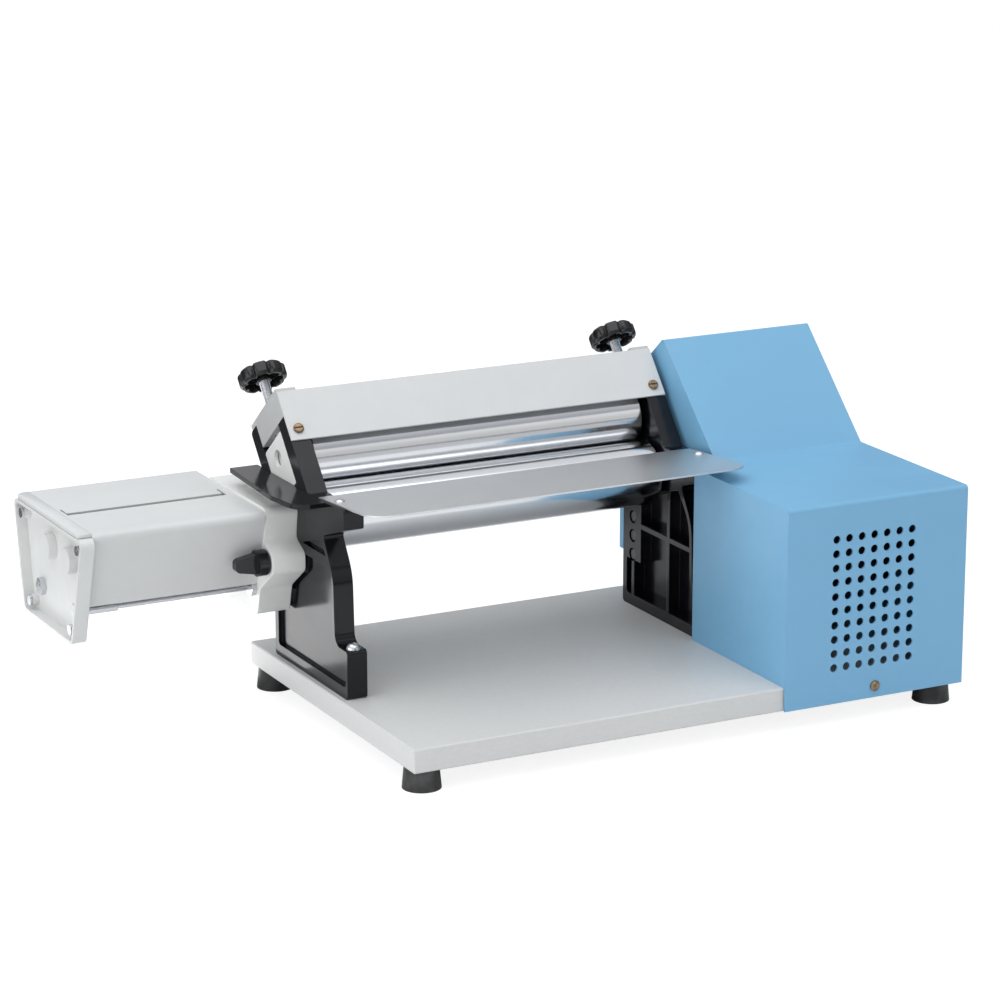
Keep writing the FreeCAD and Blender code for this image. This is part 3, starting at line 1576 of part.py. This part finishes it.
def make_takeoff_gears():
    x_low = left_outer + takeoff_start
    x_high = x_low + takeoff_width
    roller = (lower_axis_y, lower_axis_z)
    cutter = (cutter_axis_y, cutter_axis_z)
    toward = direction_between(roller, cutter)
    first = gear_x(takeoff_module, takeoff_teeth, x_low, x_high, roller[0], roller[1],
                   toward)
    keep("takeoff_gear", bored(first, roller[0], roller[1], journal_radius))
    turn = meshing_turn(toward, takeoff_teeth, stub_teeth, toward)
    second = gear_x(takeoff_module, stub_teeth, x_low, x_high, cutter[0], cutter[1], turn)
    hub = rod_x(2 * cutter_journal_radius, left_outer - 2 * coupling_flats / 2, x_low,
                cutter[0], cutter[1])
    stem = rod_x(shaft_radius, x_high, left_inner, cutter[0], cutter[1])
    flats = (coupling_flats + 2 * slide_gap) / math.sqrt(3)
    socket = hexagon_x(flats, left_outer - 2 * coupling_flats, x_low + slide_gap,
                       cutter[0], cutter[1])
    stub = join([second, hub, stem]).cut(socket)
    keep("cutter_drive_stub", stub)


def make_takeoff_cover():
    """Disc that closes the mouth of the roller's gear well in front of the bracket."""
    cover = rod_x(takeoff_well_radius() - running_gap, left_outer,
                  left_outer + cover_thick, lower_axis_y, lower_axis_z)
    keep("takeoff_cover", cover)


def make_clamp():
    collar_low = bracket_left - clamp_collar
    collar = rod_x(clamp_collar_radius, collar_low, bracket_left, clamp_y, clamp_z)
    collar = collar.makeFillet(knob_round, [collar.Edges[0]])
    root = clamp_wing_root
    tip = clamp_wing_tip
    x_tip = collar_low - clamp_wing
    profile = [Vector(collar_low + knob_round, clamp_y, clamp_z - root),
               Vector(x_tip, clamp_y, clamp_z - tip),
               Vector(x_tip, clamp_y, clamp_z + tip),
               Vector(collar_low + knob_round, clamp_y, clamp_z + root)]
    half = clamp_wing_half
    face = Part.Face(rounded_wire(profile, [0, half, half, 0]))
    wing = face.extrude(Vector(0, 2 * half, 0))
    wing.translate(Vector(0, -half, 0))
    knob = join([collar, wing])
    stud_high = left_inner - web_thick
    stud = rod_x(clamp_stud_radius, collar_low + 2 * knob_round, stud_high,
                 clamp_y, clamp_z)
    knob = knob.cut(rod_x(clamp_stud_radius, collar_low + 2 * knob_round,
                          bracket_left + overrun, clamp_y, clamp_z))
    keep("clamp_knob", knob)
    keep("clamp_stud", stud)


def build():
    make_base()
    make_feet()
    make_frame_fasteners()
    make_frames()
    make_head_caps()
    make_bushings()
    make_lower_roller()
    make_upper_roller()
    make_bearing_blocks()
    make_adjusters()
    make_sync_gears()
    make_drive_gears()
    make_drive_plate()
    make_motor()
    make_cover_bar()
    make_tray()
    make_cutter_bracket()
    make_shelf()
    make_housing()
    make_housing_bracket()
    make_switch()
    make_gland()
    make_hood()
    make_end_plate()
    make_tie_rods()
    make_cutter_rollers()
    make_cutter_gears()
    make_takeoff_gears()
    make_takeoff_cover()
    make_clamp()


def export():
    """Move the machine so that its origin is the middle of its footprint, and save it."""
    whole = FreeCAD.BoundBox()
    for shape in solids.values():
        whole.add(shape.BoundBox)
    shift = Vector(-(whole.XMin + whole.XMax) / 2, -(whole.YMin + whole.YMax) / 2, -whole.ZMin)
    os.makedirs("parts", exist_ok=True)
    for name, shape in solids.items():
        shape.translate(shift)
        shape.exportStep("parts/" + name + ".step")
        print(name, len(shape.Solids), round(shape.Volume), shape.isValid())
    print("shift", round(shift.x, 4), round(shift.y, 4), round(shift.z, 4))


build()
export()
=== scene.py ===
# %% [markdown]
# # A tabletop fondant sheeter
# The machine's solid parts come in as a fixed frame: board, castings, rollers, gears and
# housing, each already at its place and size. This lesson gives every one of them a
# finish, models the few small parts that a plain solid doesn't show well, and sets up a
# plain studio around them.

# %% Load the frame
import math

import bmesh
import bpy
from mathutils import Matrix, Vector


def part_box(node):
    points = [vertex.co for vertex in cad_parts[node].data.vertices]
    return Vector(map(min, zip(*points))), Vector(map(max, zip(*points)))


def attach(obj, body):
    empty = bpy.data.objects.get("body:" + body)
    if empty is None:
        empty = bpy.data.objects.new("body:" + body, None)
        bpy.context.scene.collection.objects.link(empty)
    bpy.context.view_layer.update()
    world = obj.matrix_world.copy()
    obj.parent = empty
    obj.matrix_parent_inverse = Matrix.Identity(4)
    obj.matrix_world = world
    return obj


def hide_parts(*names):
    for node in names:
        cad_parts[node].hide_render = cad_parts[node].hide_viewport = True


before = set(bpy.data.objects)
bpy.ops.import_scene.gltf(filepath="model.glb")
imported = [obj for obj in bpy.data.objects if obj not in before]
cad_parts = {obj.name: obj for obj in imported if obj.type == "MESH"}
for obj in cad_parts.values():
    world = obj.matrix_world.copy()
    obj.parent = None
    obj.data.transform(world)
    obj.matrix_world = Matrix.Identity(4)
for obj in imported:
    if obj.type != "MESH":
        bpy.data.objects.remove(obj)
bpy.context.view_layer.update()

# %% [markdown]
# Places are easiest to think of from the left front corner of the base board's top
# face, in millimetres. One helper turns such a place into the frame's metres, going by
# the board's own box, so that it stays right wherever the frame's origin is.

# %% Work from the corner of the board
mm = 0.001
board_thick = 18.0
corner = Vector(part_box("base_board")[0]) + Vector((0, 0, board_thick * mm))


def at(x, y, z):
    return corner + Vector((x, y, z)) * mm


print("board corner", [round(value, 4) for value in corner])

# %% [markdown]
# ## Camera
# The machine is seen from the cutter's side, a little from above, through a long lens
# from about two and a half metres, which keeps the board's far edge almost as long as
# the near one.

# %% Place the camera
camera_place = at(-1040.0, -2149.3, 834.1)
view_turn = math.radians(-27.27)
view_drop = math.radians(15.28)
camera_data = bpy.data.cameras.new("studio_camera")
camera_data.lens = 129.6
camera_data.sensor_width = 36.0
camera_data.clip_end = 50.0
camera = bpy.data.objects.new("studio_camera", camera_data)
camera.rotation_euler = (math.pi / 2 - view_drop, 0, view_turn)
camera.location = camera_place
scene = bpy.context.scene
scene.collection.objects.link(camera)
scene.camera = camera
print("camera", [round(value, 3) for value in camera.location])

# %% [markdown]
# ## Studio
# The machine stands on white paper in a tent of soft light, which is bright overhead and
# dim near the horizon. Polished and glossy parts show whatever they face, so that dim
# band draws the dark stripes along the rollers and keeps the black castings black. A low
# strip of light lies behind the cutter, facing up. The flat side of the left casting
# mirrors it, which is its grey sheen, and it also brightens the cutter from behind. The
# camera itself sees plain white. A picture of a studio could light the machine too, but
# these few lamps are easier to set.

# %% Set the colour handling and the surroundings
tent_tint = (0.93, 0.96, 1, 1)
tent_fades = {"From Min": 0.2, "From Max": 0.8, "To Min": 0.06, "To Max": 0.8}
scene.view_settings.view_transform = "Standard"
world = bpy.data.worlds.new("light_tent")
scene.world = world
world.use_nodes = True
tree = world.node_tree
tree.nodes.clear()
seen = tree.nodes.new("ShaderNodeBackground")
seen.inputs["Color"].default_value = (1, 1, 1, 1)
seen.inputs["Strength"].default_value = 1.0
lighting = tree.nodes.new("ShaderNodeBackground")
lighting.inputs["Color"].default_value = tent_tint
way = tree.nodes.new("ShaderNodeTexCoord")
split = tree.nodes.new("ShaderNodeSeparateXYZ")
rise = tree.nodes.new("ShaderNodeMapRange")
tree.links.new(way.outputs["Generated"], split.inputs[0])
tree.links.new(split.outputs["Z"], rise.inputs["Value"])
for title, value in tent_fades.items():
    rise.inputs[title].default_value = value
tree.links.new(rise.outputs[0], lighting.inputs["Strength"])
path = tree.nodes.new("ShaderNodeLightPath")
choose = tree.nodes.new("ShaderNodeMixShader")
tree.links.new(path.outputs["Is Camera Ray"], choose.inputs[0])
tree.links.new(lighting.outputs[0], choose.inputs[1])
tree.links.new(seen.outputs[0], choose.inputs[2])
tree.links.new(choose.outputs[0], tree.nodes.new("ShaderNodeOutputWorld").inputs[0])
print("world", world.name)

# %% Hang the soft lights


def soft_light(name, place, aim, width, height, power):
    data = bpy.data.lights.new(name, "AREA")
    data.shape = "RECTANGLE"
    data.size = width
    data.size_y = height
    data.energy = power
    lamp = bpy.data.objects.new(name, data)
    scene.collection.objects.link(lamp)
    lamp.location = place
    direction = Vector(aim) - Vector(place)
    lamp.rotation_euler = direction.to_track_quat("-Z", "Y").to_euler()
    print("light", name, power)
    return lamp


machine_middle = (0, 0, 0.1)
machine_low = (0, 0, 0.05)
soft_light("overhead", (-0.3, -0.3, 2.0), machine_middle, 3.0, 2.2, 25)
soft_light("left_front", (-1.5, -2.1, 1.0), machine_middle, 2.0, 1.6, 7)
soft_light("left", (-2.2, -0.2, 0.6), machine_middle, 2.4, 1.1, 16)
soft_light("right_front", (1.4, -2.2, 0.8), machine_middle, 1.8, 1.2, 4)
soft_light("back", (-0.3, 2.2, 1.1), machine_low, 2.6, 1.2, 6)
strip_place = at(-100, 445, -30)
strip_aim = at(-100, 445, 500)
strip = soft_light("low_strip", strip_place, strip_aim, 0.3, 0.31, 0.55)
strip.visible_camera = False

# %% [markdown]
# ## Writing shader sums
# A material is a small sum over patterns. Wrapping a node's output in a class with the
# usual operators lets such a sum be written as one line, and each operator adds the
# maths node that it stands for.

# %% Wrap a node's output


class Wire:
    """One output of a shader node."""

    def __init__(self, finish, socket):
        self.finish = finish
        self.socket = socket

    def maths(self, operation, first, second):
        return self.finish.add("ShaderNodeMath", {"operation": operation},
                               {0: first, 1: second})

    def __add__(self, other):
        return self.maths("ADD", self, other)

    def __radd__(self, other):
        return self.maths("ADD", other, self)

    def __sub__(self, other):
        return self.maths("SUBTRACT", self, other)

    def __rsub__(self, other):
        return self.maths("SUBTRACT", other, self)

    def __mul__(self, other):
        return self.maths("MULTIPLY", self, other)

    def __rmul__(self, other):
        return self.maths("MULTIPLY", other, self)


# %% Start a finish


class Finish:
    """A material whose Principled shader is fed by patterns."""

    def __init__(self, name, **constants):
        self.material = bpy.data.materials.new(name)
        self.material.use_nodes = True
        self.nodes = self.material.node_tree.nodes
        self.links = self.material.node_tree.links
        self.shader = self.nodes["Principled BSDF"]
        for title, value in constants.items():
            self.shader.inputs[title.replace("_", " ")].default_value = value
        print("finish", name)

    def add(self, kind, settings, inputs, output=0):
        node = self.nodes.new(kind)
        for title, value in settings.items():
            setattr(node, title, value)
        for title, value in inputs.items():
            if isinstance(value, Wire):
                self.links.new(value.socket, node.inputs[title])
            else:
                node.inputs[title].default_value = value
        return Wire(self, node.outputs[output])

    def feed(self, title, wire):
        self.links.new(wire.socket, self.shader.inputs[title])

    def place(self, stretch=(1, 1, 1)):
        """Object coordinates in metres, stretched."""
        where = self.add("ShaderNodeTexCoord", {}, {}, "Object")
        return self.add("ShaderNodeMapping", {}, {"Vector": where, "Scale": stretch})

    def cloud(self, size, stretch=(1, 1, 1), detail=2.0, rough=0.5):
        """Soft noise whose blobs are about size metres across."""
        return self.add("ShaderNodeTexNoise", {},
                        {"Vector": self.place(stretch), "Scale": 1 / size,
                         "Detail": detail, "Roughness": rough}, "Fac")

    def between(self, wire, low, high, to_low=0.0, to_high=1.0):
        """Map the range low to high onto another range, and clamp it."""
        return self.add("ShaderNodeMapRange", {}, {"Value": wire, "From Min": low,
                                                   "From Max": high, "To Min": to_low,
                                                   "To Max": to_high})

    def blend(self, share, first, second):
        """Colour between two colours."""
        return self.add("ShaderNodeMix", {"data_type": "RGBA"},
                        {0: share, 6: first, 7: second}, 2)

    def bump(self, height, depth, edge=0.0006):
        """Raise the surface by height times depth metres, over edges rounded by edge."""
        rounded = self.add("ShaderNodeBevel", {"samples": 4}, {"Radius": edge}, "Normal")
        normal = self.add("ShaderNodeBump", {}, {"Height": height, "Strength": 1.0,
                                                 "Distance": depth, "Normal": rounded})
        self.feed("Normal", normal)


def colour(red, green, blue):
    return (red, green, blue, 1.0)


noise_low, noise_high = 0.35, 0.65
print("noise mostly stays between", noise_low, "and", noise_high)

# %% [markdown]
# ## Finishes
# Sheet steel and castings here are stove-enamelled. Such paint is never flat: it has a
# fine orange-peel skin, a slightly uneven gloss, and a little more grey where hands and
# cloths have been. All of that is one function with a few numbers to set.

# %% Enamelled metal


def enamel(name, tint, gloss, peel=0.0009, peel_depth=0.00001, shade=0.06, edge=0.0006,
           **constants):
    finish = Finish(name, **constants)
    cloudy = finish.cloud(0.09, detail=4)
    fine = finish.cloud(0.011, detail=3)
    darker = colour(*[part * (1 - shade) for part in tint])
    lighter = colour(*[min(1.0, part * (1 + shade * 0.4)) for part in tint])
    share = finish.between(cloudy * 0.65 + fine * 0.35, noise_low, noise_high)
    finish.feed("Base Color", finish.blend(share, darker, lighter))
    smear = finish.between(finish.cloud(0.05, (1, 1, 2.5), 5), 0.35, 0.7, -0.04, 0.07)
    finish.feed("Roughness", smear + gloss)
    skin = finish.cloud(peel, detail=1)
    finish.bump(skin, peel_depth, edge)
    return finish.material


cast_skin = {"peel": 0.0022, "peel_depth": 0.00003, "shade": 0.04}
grey_sheet = enamel("grey_enamel_sheet", (0.66, 0.67, 0.67), 0.38, shade=0.03)
grey_cast = enamel("grey_enamel_casting", (0.87, 0.88, 0.86), 0.33, edge=0.001, **cast_skin)
grey_end = enamel("grey_enamel_end", (0.69, 0.7, 0.69), 0.4, edge=0.0008, **cast_skin)
grey_cap = enamel("grey_enamel_cap", (0.54, 0.55, 0.545), 0.36, edge=0.0008, **cast_skin)
blue_sheet = enamel("blue_powder_coat", (0.196, 0.452, 0.685), 0.42, peel=0.0007,
                    peel_depth=0.000012, shade=0.025)
black_cast_and_painted_shade = enamel("black_enamel_and_painted_shade", (0.003, 0.003, 0.006), 0.16, peel=0.006,
                    peel_depth=0.00002, shade=0.3, edge=0.0009, Specular_IOR_Level=0.38)
motor_paint = enamel("motor_enamel", (0.03, 0.03, 0.035), 0.4)

# %% [markdown]
# The board is faced with a grey melamine laminate. It has a faint pearl texture that
# breaks up the reflection, and the odd fine scratch from trays that were dragged on it.

# %% Laminate of the board


def laminate():
    finish = Finish("board_laminate")
    cloudy = finish.cloud(0.25, detail=3)
    grain = finish.cloud(0.0016, (0.35, 1, 1), 2)
    mixed = finish.between(cloudy * 0.5 + grain * 0.5, noise_low, noise_high)
    finish.feed("Base Color", finish.blend(mixed, colour(0.63, 0.635, 0.63),
                                           colour(0.68, 0.685, 0.68)))
    scratch = finish.cloud(0.004, (0.06, 1, 1), 2)
    scratches = finish.between(scratch, 0.68, 0.74, 0.0, 1.0)
    finish.feed("Roughness", grain * 0.08 + 0.4 - scratches * 0.06)
    finish.bump(grain + scratches * -0.5, 0.00002)
    return finish.material


board_finish = laminate()

# %% [markdown]
# The rollers are ground and hard-chromed. Grinding leaves rings that are much finer
# along the axis than around it, so the noise is squeezed along X. The tray is brushed
# the other way, with long lines along its length, and screws are turned and plated, with
# next to no pattern.

# %% Bright metals


def bright(name, tint, rough, size, stretch, depth, spread=0.08, shade=0.1):
    finish = Finish(name, Metallic=1.0)
    lines = finish.cloud(size, stretch, 3, 0.6)
    wide = finish.cloud(0.06, detail=2)
    tone = finish.between(lines * 0.7 + wide * 0.3, noise_low, noise_high)
    dark = colour(*[part * (1 - shade) for part in tint])
    finish.feed("Base Color", finish.blend(tone, dark, colour(*tint)))
    finish.feed("Roughness", finish.between(lines, 0.3, 0.7, rough, rough + spread))
    finish.bump(lines, depth)
    return finish.material


roller_chrome = bright("ground_chrome", (0.8, 0.81, 0.83), 0.13, 0.02, (40, 1, 1),
                       0.0000003, 0.03, 0.03)
tray_steel = bright("brushed_stainless", (0.78, 0.785, 0.79), 0.34, 0.02, (0.6, 30, 30),
                    0.0000005, 0.03, 0.03)
cutter_steel = bright("turned_stainless", (0.66, 0.67, 0.69), 0.2, 0.01, (30, 1, 1),
                      0.000004, 0.1)
machined = bright("machined_steel", (0.42, 0.42, 0.43), 0.3, 0.01, (12, 1, 1), 0.00001,
                  0.15, 0.25)
# The column screws are given near-black metal as painted shade, for the shadow in the holes
# they sit in.
screw_painted_shade = bright("near_black_painted_shade", (0.09, 0.09, 0.1), 0.25, 0.003, (1, 1, 1), 0.000002, 0.1, 0.1)
zinc = bright("bright_zinc", (0.66, 0.67, 0.7), 0.2, 0.003, (1, 1, 1), 0.000002, 0.08, 0.08)
brass = bright("tarnished_brass", (0.42, 0.3, 0.19), 0.24, 0.003, (1, 1, 1), 0.000006, 0.15,
               0.6)
bronze = bright("bearing_bronze", (0.42, 0.26, 0.12), 0.35, 0.004, (1, 1, 1), 0.00001)
milled = bright("milled_aluminium", (0.6, 0.61, 0.63), 0.3, 0.012, (0.5, 12, 1), 0.00001)

# %% [markdown]
# The knobs are moulded in glass-filled plastic with a fine spark-eroded skin, and the
# feet in natural rubber, which is duller and picks up pale dust.

# %% Moulded plastic and rubber


def moulded(name, tint, rough, grain_size, depth, dust=0.0):
    finish = Finish(name)
    grain = finish.cloud(grain_size, detail=2)
    patch = finish.cloud(0.02, detail=4)
    dusty = finish.between(patch, 0.5, 0.75, 0.0, dust)
    pale = colour(*[min(1.0, part + 0.16) for part in tint])
    finish.feed("Base Color", finish.blend(dusty, colour(*tint), pale))
    finish.feed("Roughness", grain * 0.12 + rough + dusty * 0.3)
    finish.bump(grain, depth)
    return finish.material


knob_plastic = moulded("knob_plastic", (0.008, 0.008, 0.009), 0.16, 0.0006, 0.000006, 0.08)
switch_plastic = moulded("switch_plastic", (0.012, 0.012, 0.013), 0.4, 0.0005, 0.00002, 0.1)
foot_rubber = moulded("foot_rubber", (0.012, 0.012, 0.012), 0.38, 0.001, 0.00003, 0.35)

# %% [markdown]
# ## Giving each part its finish
# Every solid of the frame keeps its shape, and only its material slots change.

# %% Hand out the finishes
finishes = {
    board_finish: ["base_board"],
    foot_rubber: ["rubber_feet"],
    # The right bearing block is the same grey casting as the left one. Its black enamel
    # here is painted shade, for the shade of the head it sits in.
    black_cast_and_painted_shade: ["left_side_frame", "right_side_frame", "gear_shelf", "takeoff_cover",
                 "right_bearing_block"],
    grey_cast: ["left_bearing_block", "cutter_bracket"],
    grey_end: ["cutter_end_plate"],
    grey_cap: ["head_caps"],
    grey_sheet: ["cover_bar", "cutter_hood"],
    blue_sheet: ["housing_shell", "housing_bracket"],
    tray_steel: ["feed_tray"],
    roller_chrome: ["lower_roller", "upper_roller"],
    cutter_steel: ["front_cutter_roller", "rear_cutter_roller"],
    machined: ["lower_sync_gear", "upper_sync_gear", "roller_drive_gear", "idler_gear",
               "motor_pinion", "takeoff_gear", "cutter_drive_stub", "front_cutter_gear",
               "rear_cutter_gear", "drive_plate", "idler_stud"],
    zinc: ["feet_screws", "toe_bolts", "frame_screws", "cap_screws", "tray_screws",
           "gear_shelf_screws", "end_plate_screws", "tie_rods", "tie_rod_nuts",
           "drive_plate_screws", "gearbox_screws", "clamp_stud",
           "left_adjuster_screw", "right_adjuster_screw"],
    # Near-black column screws: painted shade of their holes.
    screw_painted_shade: ["column_screws"],
    brass: ["cover_bar_screws", "housing_screws"],
    bronze: ["lower_bushings", "stub_bushing"],
    milled: ["gearbox"],
    motor_paint: ["motor_body"],
    knob_plastic: ["left_adjuster_knob", "right_adjuster_knob", "clamp_knob",
                   "switch_rocker"],
    switch_plastic: ["switch_frame", "cable_gland"],
}
given = set()
for material, names in finishes.items():
    for name in names:
        solid = bpy.data.objects[name]
        solid.data.materials.clear()
        solid.data.materials.append(material)
        given.add(name)
print("without a finish:", sorted(set(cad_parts) - given))

# %% [markdown]
# ## Lip of the cutter hood
# The hood's top doesn't stop where its sides do: it reaches over the end plate as a thin
# lip with rounded corners. It could be drawn out of the hood's own mesh, but that is left
# alone, so the lip is a slab of its own, flush with the hood. Its two outer corners are
# rounded one after the other, since the rear one is much rounder, and then all its edges
# are broken.

# %% Break the edges of a piece


def round_edges(piece, width, segments, sharp_over):
    """Bevel the active piece's edges that turn by more than sharp_over degrees."""
    rounding = piece.modifiers.new("rounding", "BEVEL")
    rounding.width = width
    rounding.segments = segments
    rounding.limit_method = "ANGLE"
    rounding.angle_limit = math.radians(sharp_over)
    bpy.ops.object.modifier_apply(modifier=rounding.name)
    bpy.ops.object.shade_smooth_by_angle(angle=math.radians(40))
    print(piece.name, "faces", len(piece.data.polygons))


# %% Model the lip flush with the hood's top
hood_low, hood_high = [Vector(end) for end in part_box("cutter_hood")]
plate_low, plate_high = [Vector(end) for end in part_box("cutter_end_plate")]
lip_gap = 0.3 * mm
front_inset = 2.5 * mm
rear_inset = 3 * mm
front_corner = 2.5 * mm
rear_corner = 8.5 * mm
same_place = 1e-6
lip_low = Vector((plate_low.x + lip_gap, hood_low.y + front_inset, plate_high.z + lip_gap))
lip_high = Vector((hood_low.x, hood_high.y - rear_inset, hood_high.z))
bpy.ops.object.select_all(action="DESELECT")
bpy.ops.mesh.primitive_cube_add(size=1, location=(lip_low + lip_high) / 2,
                                scale=lip_high - lip_low)
lip = bpy.context.object
lip.name = "hood_lip"
bpy.ops.object.transform_apply(location=True, rotation=True, scale=True)
bpy.ops.object.mode_set(mode="EDIT")
bpy.ops.mesh.select_mode(type="EDGE")
for edge_y, radius in ((lip_high.y, rear_corner), (lip_low.y, front_corner)):
    bpy.ops.mesh.select_all(action="DESELECT")
    mesh = bmesh.from_edit_mesh(lip.data)
    for edge in mesh.edges:
        edge.select = all(abs(vertex.co.x - lip_low.x) < same_place
                          and abs(vertex.co.y - edge_y) < same_place
                          for vertex in edge.verts)
    bmesh.update_edit_mesh(lip.data)
    bpy.ops.mesh.bevel(offset=radius, segments=8, affect="EDGES")
bpy.ops.object.mode_set(mode="OBJECT")
round_edges(lip, width=0.3 * mm, segments=2, sharp_over=60)
lip.data.materials.append(grey_sheet)
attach(lip, "frame")
print("lip", [round(value / mm, 1) for value in lip_high - lip_low])

# %% [markdown]
# ## Adjuster knobs
# The two knobs that press the upper roller down are moulded with eight finger lobes, and
# hollow underneath, so that the wall is about equally thick all round. Such a knob could
# be cut from a disc with eight cylinders, but that leaves sharp grooves. Here a disc's
# side is pulled in at eight places, its underside is drawn inwards in steps, and one
# bevel rounds every edge, as the mould does.

# %% Shape one knob, standing upright
knob_lobes = 8
lobe_steps = 12
knob_reach = 18.5 * mm
knob_side = 7.2 * mm
groove_shares = (0.83, 0.9, 0.98)
bpy.ops.object.select_all(action="DESELECT")
bpy.ops.mesh.primitive_cylinder_add(vertices=knob_lobes * lobe_steps, radius=knob_reach,
                                    depth=knob_side, end_fill_type="NGON")
knob = bpy.context.object
knob.name = "left_lobed_knob"
bpy.ops.object.mode_set(mode="EDIT")
bpy.ops.mesh.select_mode(type="VERT")


def pick(chosen, kind="verts"):
    """Select only the vertices or faces of the edited piece that chosen() accepts."""
    bpy.ops.mesh.select_all(action="DESELECT")
    mesh = bmesh.from_edit_mesh(bpy.context.object.data)
    for part in getattr(mesh, kind):
        part.select = chosen(part)
    mesh.select_flush(True)
    bmesh.update_edit_mesh(bpy.context.object.data)


def step_of(vertex):
    """How many steps the vertex is from the middle of its groove, 0 to half a lobe."""
    turn = math.atan2(vertex.co.x, vertex.co.y) / (2 * math.pi) * knob_lobes * lobe_steps
    step = round(turn) % lobe_steps
    return min(step, lobe_steps - step)


for step, share in enumerate(groove_shares):
    pick(lambda vertex: step_of(vertex) == step)
    bpy.ops.transform.resize(value=(share, share, 1))
print("knob side", len(knob.data.vertices))

# %% Slope its rims, dish its top and hollow its underside


def draw_in(steps):
    """Extrude the selected face for each step: scale it, and move it up by rise mm."""
    for scale, rise in steps:
        climb = {"value": (0, 0, rise * mm)}
        bpy.ops.mesh.extrude_region_move(TRANSFORM_OT_translate=climb)
        bpy.ops.transform.resize(value=(scale, scale, 1))


knob_edge = 1.8
top_steps = ((0.9, knob_edge), (0.9, 0), (0.92, -1.2))
hollow_steps = ((0.93, -knob_edge), (0.87, 0), (0.96, 6.5))
hub_steps = ((0.46, 0), (0.95, -6), (0.6, 0))
pick(lambda face: face.normal.z > 0.9, "faces")
draw_in(top_steps)
pick(lambda face: face.normal.z < -0.9, "faces")
draw_in(hollow_steps + hub_steps)
bpy.ops.object.mode_set(mode="OBJECT")
round_edges(knob, width=0.5 * mm, segments=3, sharp_over=35)

# %% Lean it back on its screw, and copy it for the right side
head_lean = math.radians(40)


def copy_of(piece, name):
    twin = piece.copy()
    twin.data = piece.data.copy()
    twin.name = name
    scene.collection.objects.link(twin)
    return twin


def seat(piece, node, body, material):
    """Lean an upright piece like the head, and let it stand for the node, at its place."""
    low, high = [Vector(end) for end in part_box(node)]
    piece.rotation_euler = (-head_lean, 0, 0)
    piece.location = (low + high) / 2
    bpy.ops.object.select_all(action="DESELECT")
    piece.select_set(True)
    bpy.context.view_layer.objects.active = piece
    bpy.ops.object.transform_apply(location=True, rotation=True, scale=True)
    piece.data.materials.append(material)
    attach(piece, body)
    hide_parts(node)
    print(piece.name, "on", node, "at", [round(value, 4) for value in (low + high) / 2])


right_knob = copy_of(knob, "right_lobed_knob")
seat(knob, "left_adjuster_knob", "left_adjuster", knob_plastic)
seat(right_knob, "right_adjuster_knob", "right_adjuster", knob_plastic)

# %% [markdown]
# ## Adjuster screws
# Between knob and cap some threaded screw shows. A thread is a ridge wound round a rod,
# and a screw modifier could wind it. At this size a stack of plain ridges, half a pitch
# up and half a pitch down, looks the same, closes without a seam, and is made by
# extruding one disc again and again.

# %% Stack the ridges of one screw
thread_pitch = 1.25
screw_reach = 4.0
root_share = 0.84
low, high = [Vector(end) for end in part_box("left_adjuster_screw")]
ends_rise = 2 * screw_reach * math.sin(head_lean)
screw_long = ((high - low).z / mm - ends_rise) / math.cos(head_lean)
ridges = int(screw_long / thread_pitch)
half_pitch = screw_long / ridges / 2
bpy.ops.object.select_all(action="DESELECT")
bpy.ops.mesh.primitive_circle_add(vertices=24, radius=screw_reach * root_share * mm,
                                  fill_type="NGON", location=(0, 0, -screw_long / 2 * mm))
screw = bpy.context.object
screw.name = "left_threaded_screw"
bpy.ops.object.transform_apply(location=True)
bpy.ops.object.mode_set(mode="EDIT")
bpy.ops.mesh.select_all(action="SELECT")
draw_in(((1 / root_share, half_pitch), (root_share, half_pitch)) * ridges)
bpy.ops.mesh.select_all(action="SELECT")
bpy.ops.mesh.normals_make_consistent(inside=False)
bpy.ops.object.mode_set(mode="OBJECT")
bpy.ops.object.shade_smooth_by_angle(angle=math.radians(25))
right_screw = copy_of(screw, "right_threaded_screw")
seat(screw, "left_adjuster_screw", "left_adjuster", zinc)
seat(right_screw, "right_adjuster_screw", "right_adjuster", zinc)
print("thread ridges", ridges, "faces", len(screw.data.polygons))

# %% [markdown]
# ## Floor
# White paper lies under the machine. A plain white sheet would turn grey where the lamps
# reach it less, so what the camera sees of it glows a little and is darker paper
# underneath: it stays white all over, and keeps a faint shadow. All other light meets
# ordinary white paper, which throws light back up at the machine. A little way behind
# the machine the paper's colour turns dark grey, which is painted shade that glossy sides
# mirror. The edge is a pattern in the material, so one plane does for both.

# %% Lay the floor
# Behind the machine the floor's colour fades to dark grey. This is painted shade for glossy
# sides to mirror.
painted_shade_from, painted_shade_full = 0.36, 0.46
paper_white = colour(0.93, 0.93, 0.93)
painted_shade_grey = colour(0.1, 0.1, 0.1)
shadow_grey = colour(0.3, 0.3, 0.3)
glow = 0.84
bpy.ops.object.select_all(action="DESELECT")
bpy.ops.mesh.primitive_plane_add(size=16, location=(0, 2, 0))
floor = bpy.context.object
floor.name = "paper_floor"
bpy.ops.object.transform_apply(location=True)
paper = Finish("studio_paper", Roughness=0.6)
depth = paper.add("ShaderNodeSeparateXYZ", {}, {0: paper.place()}, "Y")
painted_shade_share = paper.between(depth, painted_shade_from, painted_shade_full)
paper.feed("Base Color", paper.blend(painted_shade_share, paper_white, painted_shade_grey))
seen_paper = paper.add("ShaderNodeBsdfPrincipled", {}, {
    "Base Color": shadow_grey, "Roughness": 0.9, "Specular IOR Level": 0.0,
    "Emission Color": colour(1, 1, 1), "Emission Strength": glow})
plain_paper = Wire(paper, paper.shader.outputs[0])
for_camera = paper.add("ShaderNodeLightPath", {}, {}, "Is Camera Ray")
both = paper.add("ShaderNodeMixShader", {}, {0: for_camera, 1: plain_paper, 2: seen_paper})
paper.links.new(both.socket, paper.nodes["Material Output"].inputs["Surface"])
floor.data.materials.append(paper.material)
print("floor", floor.name)
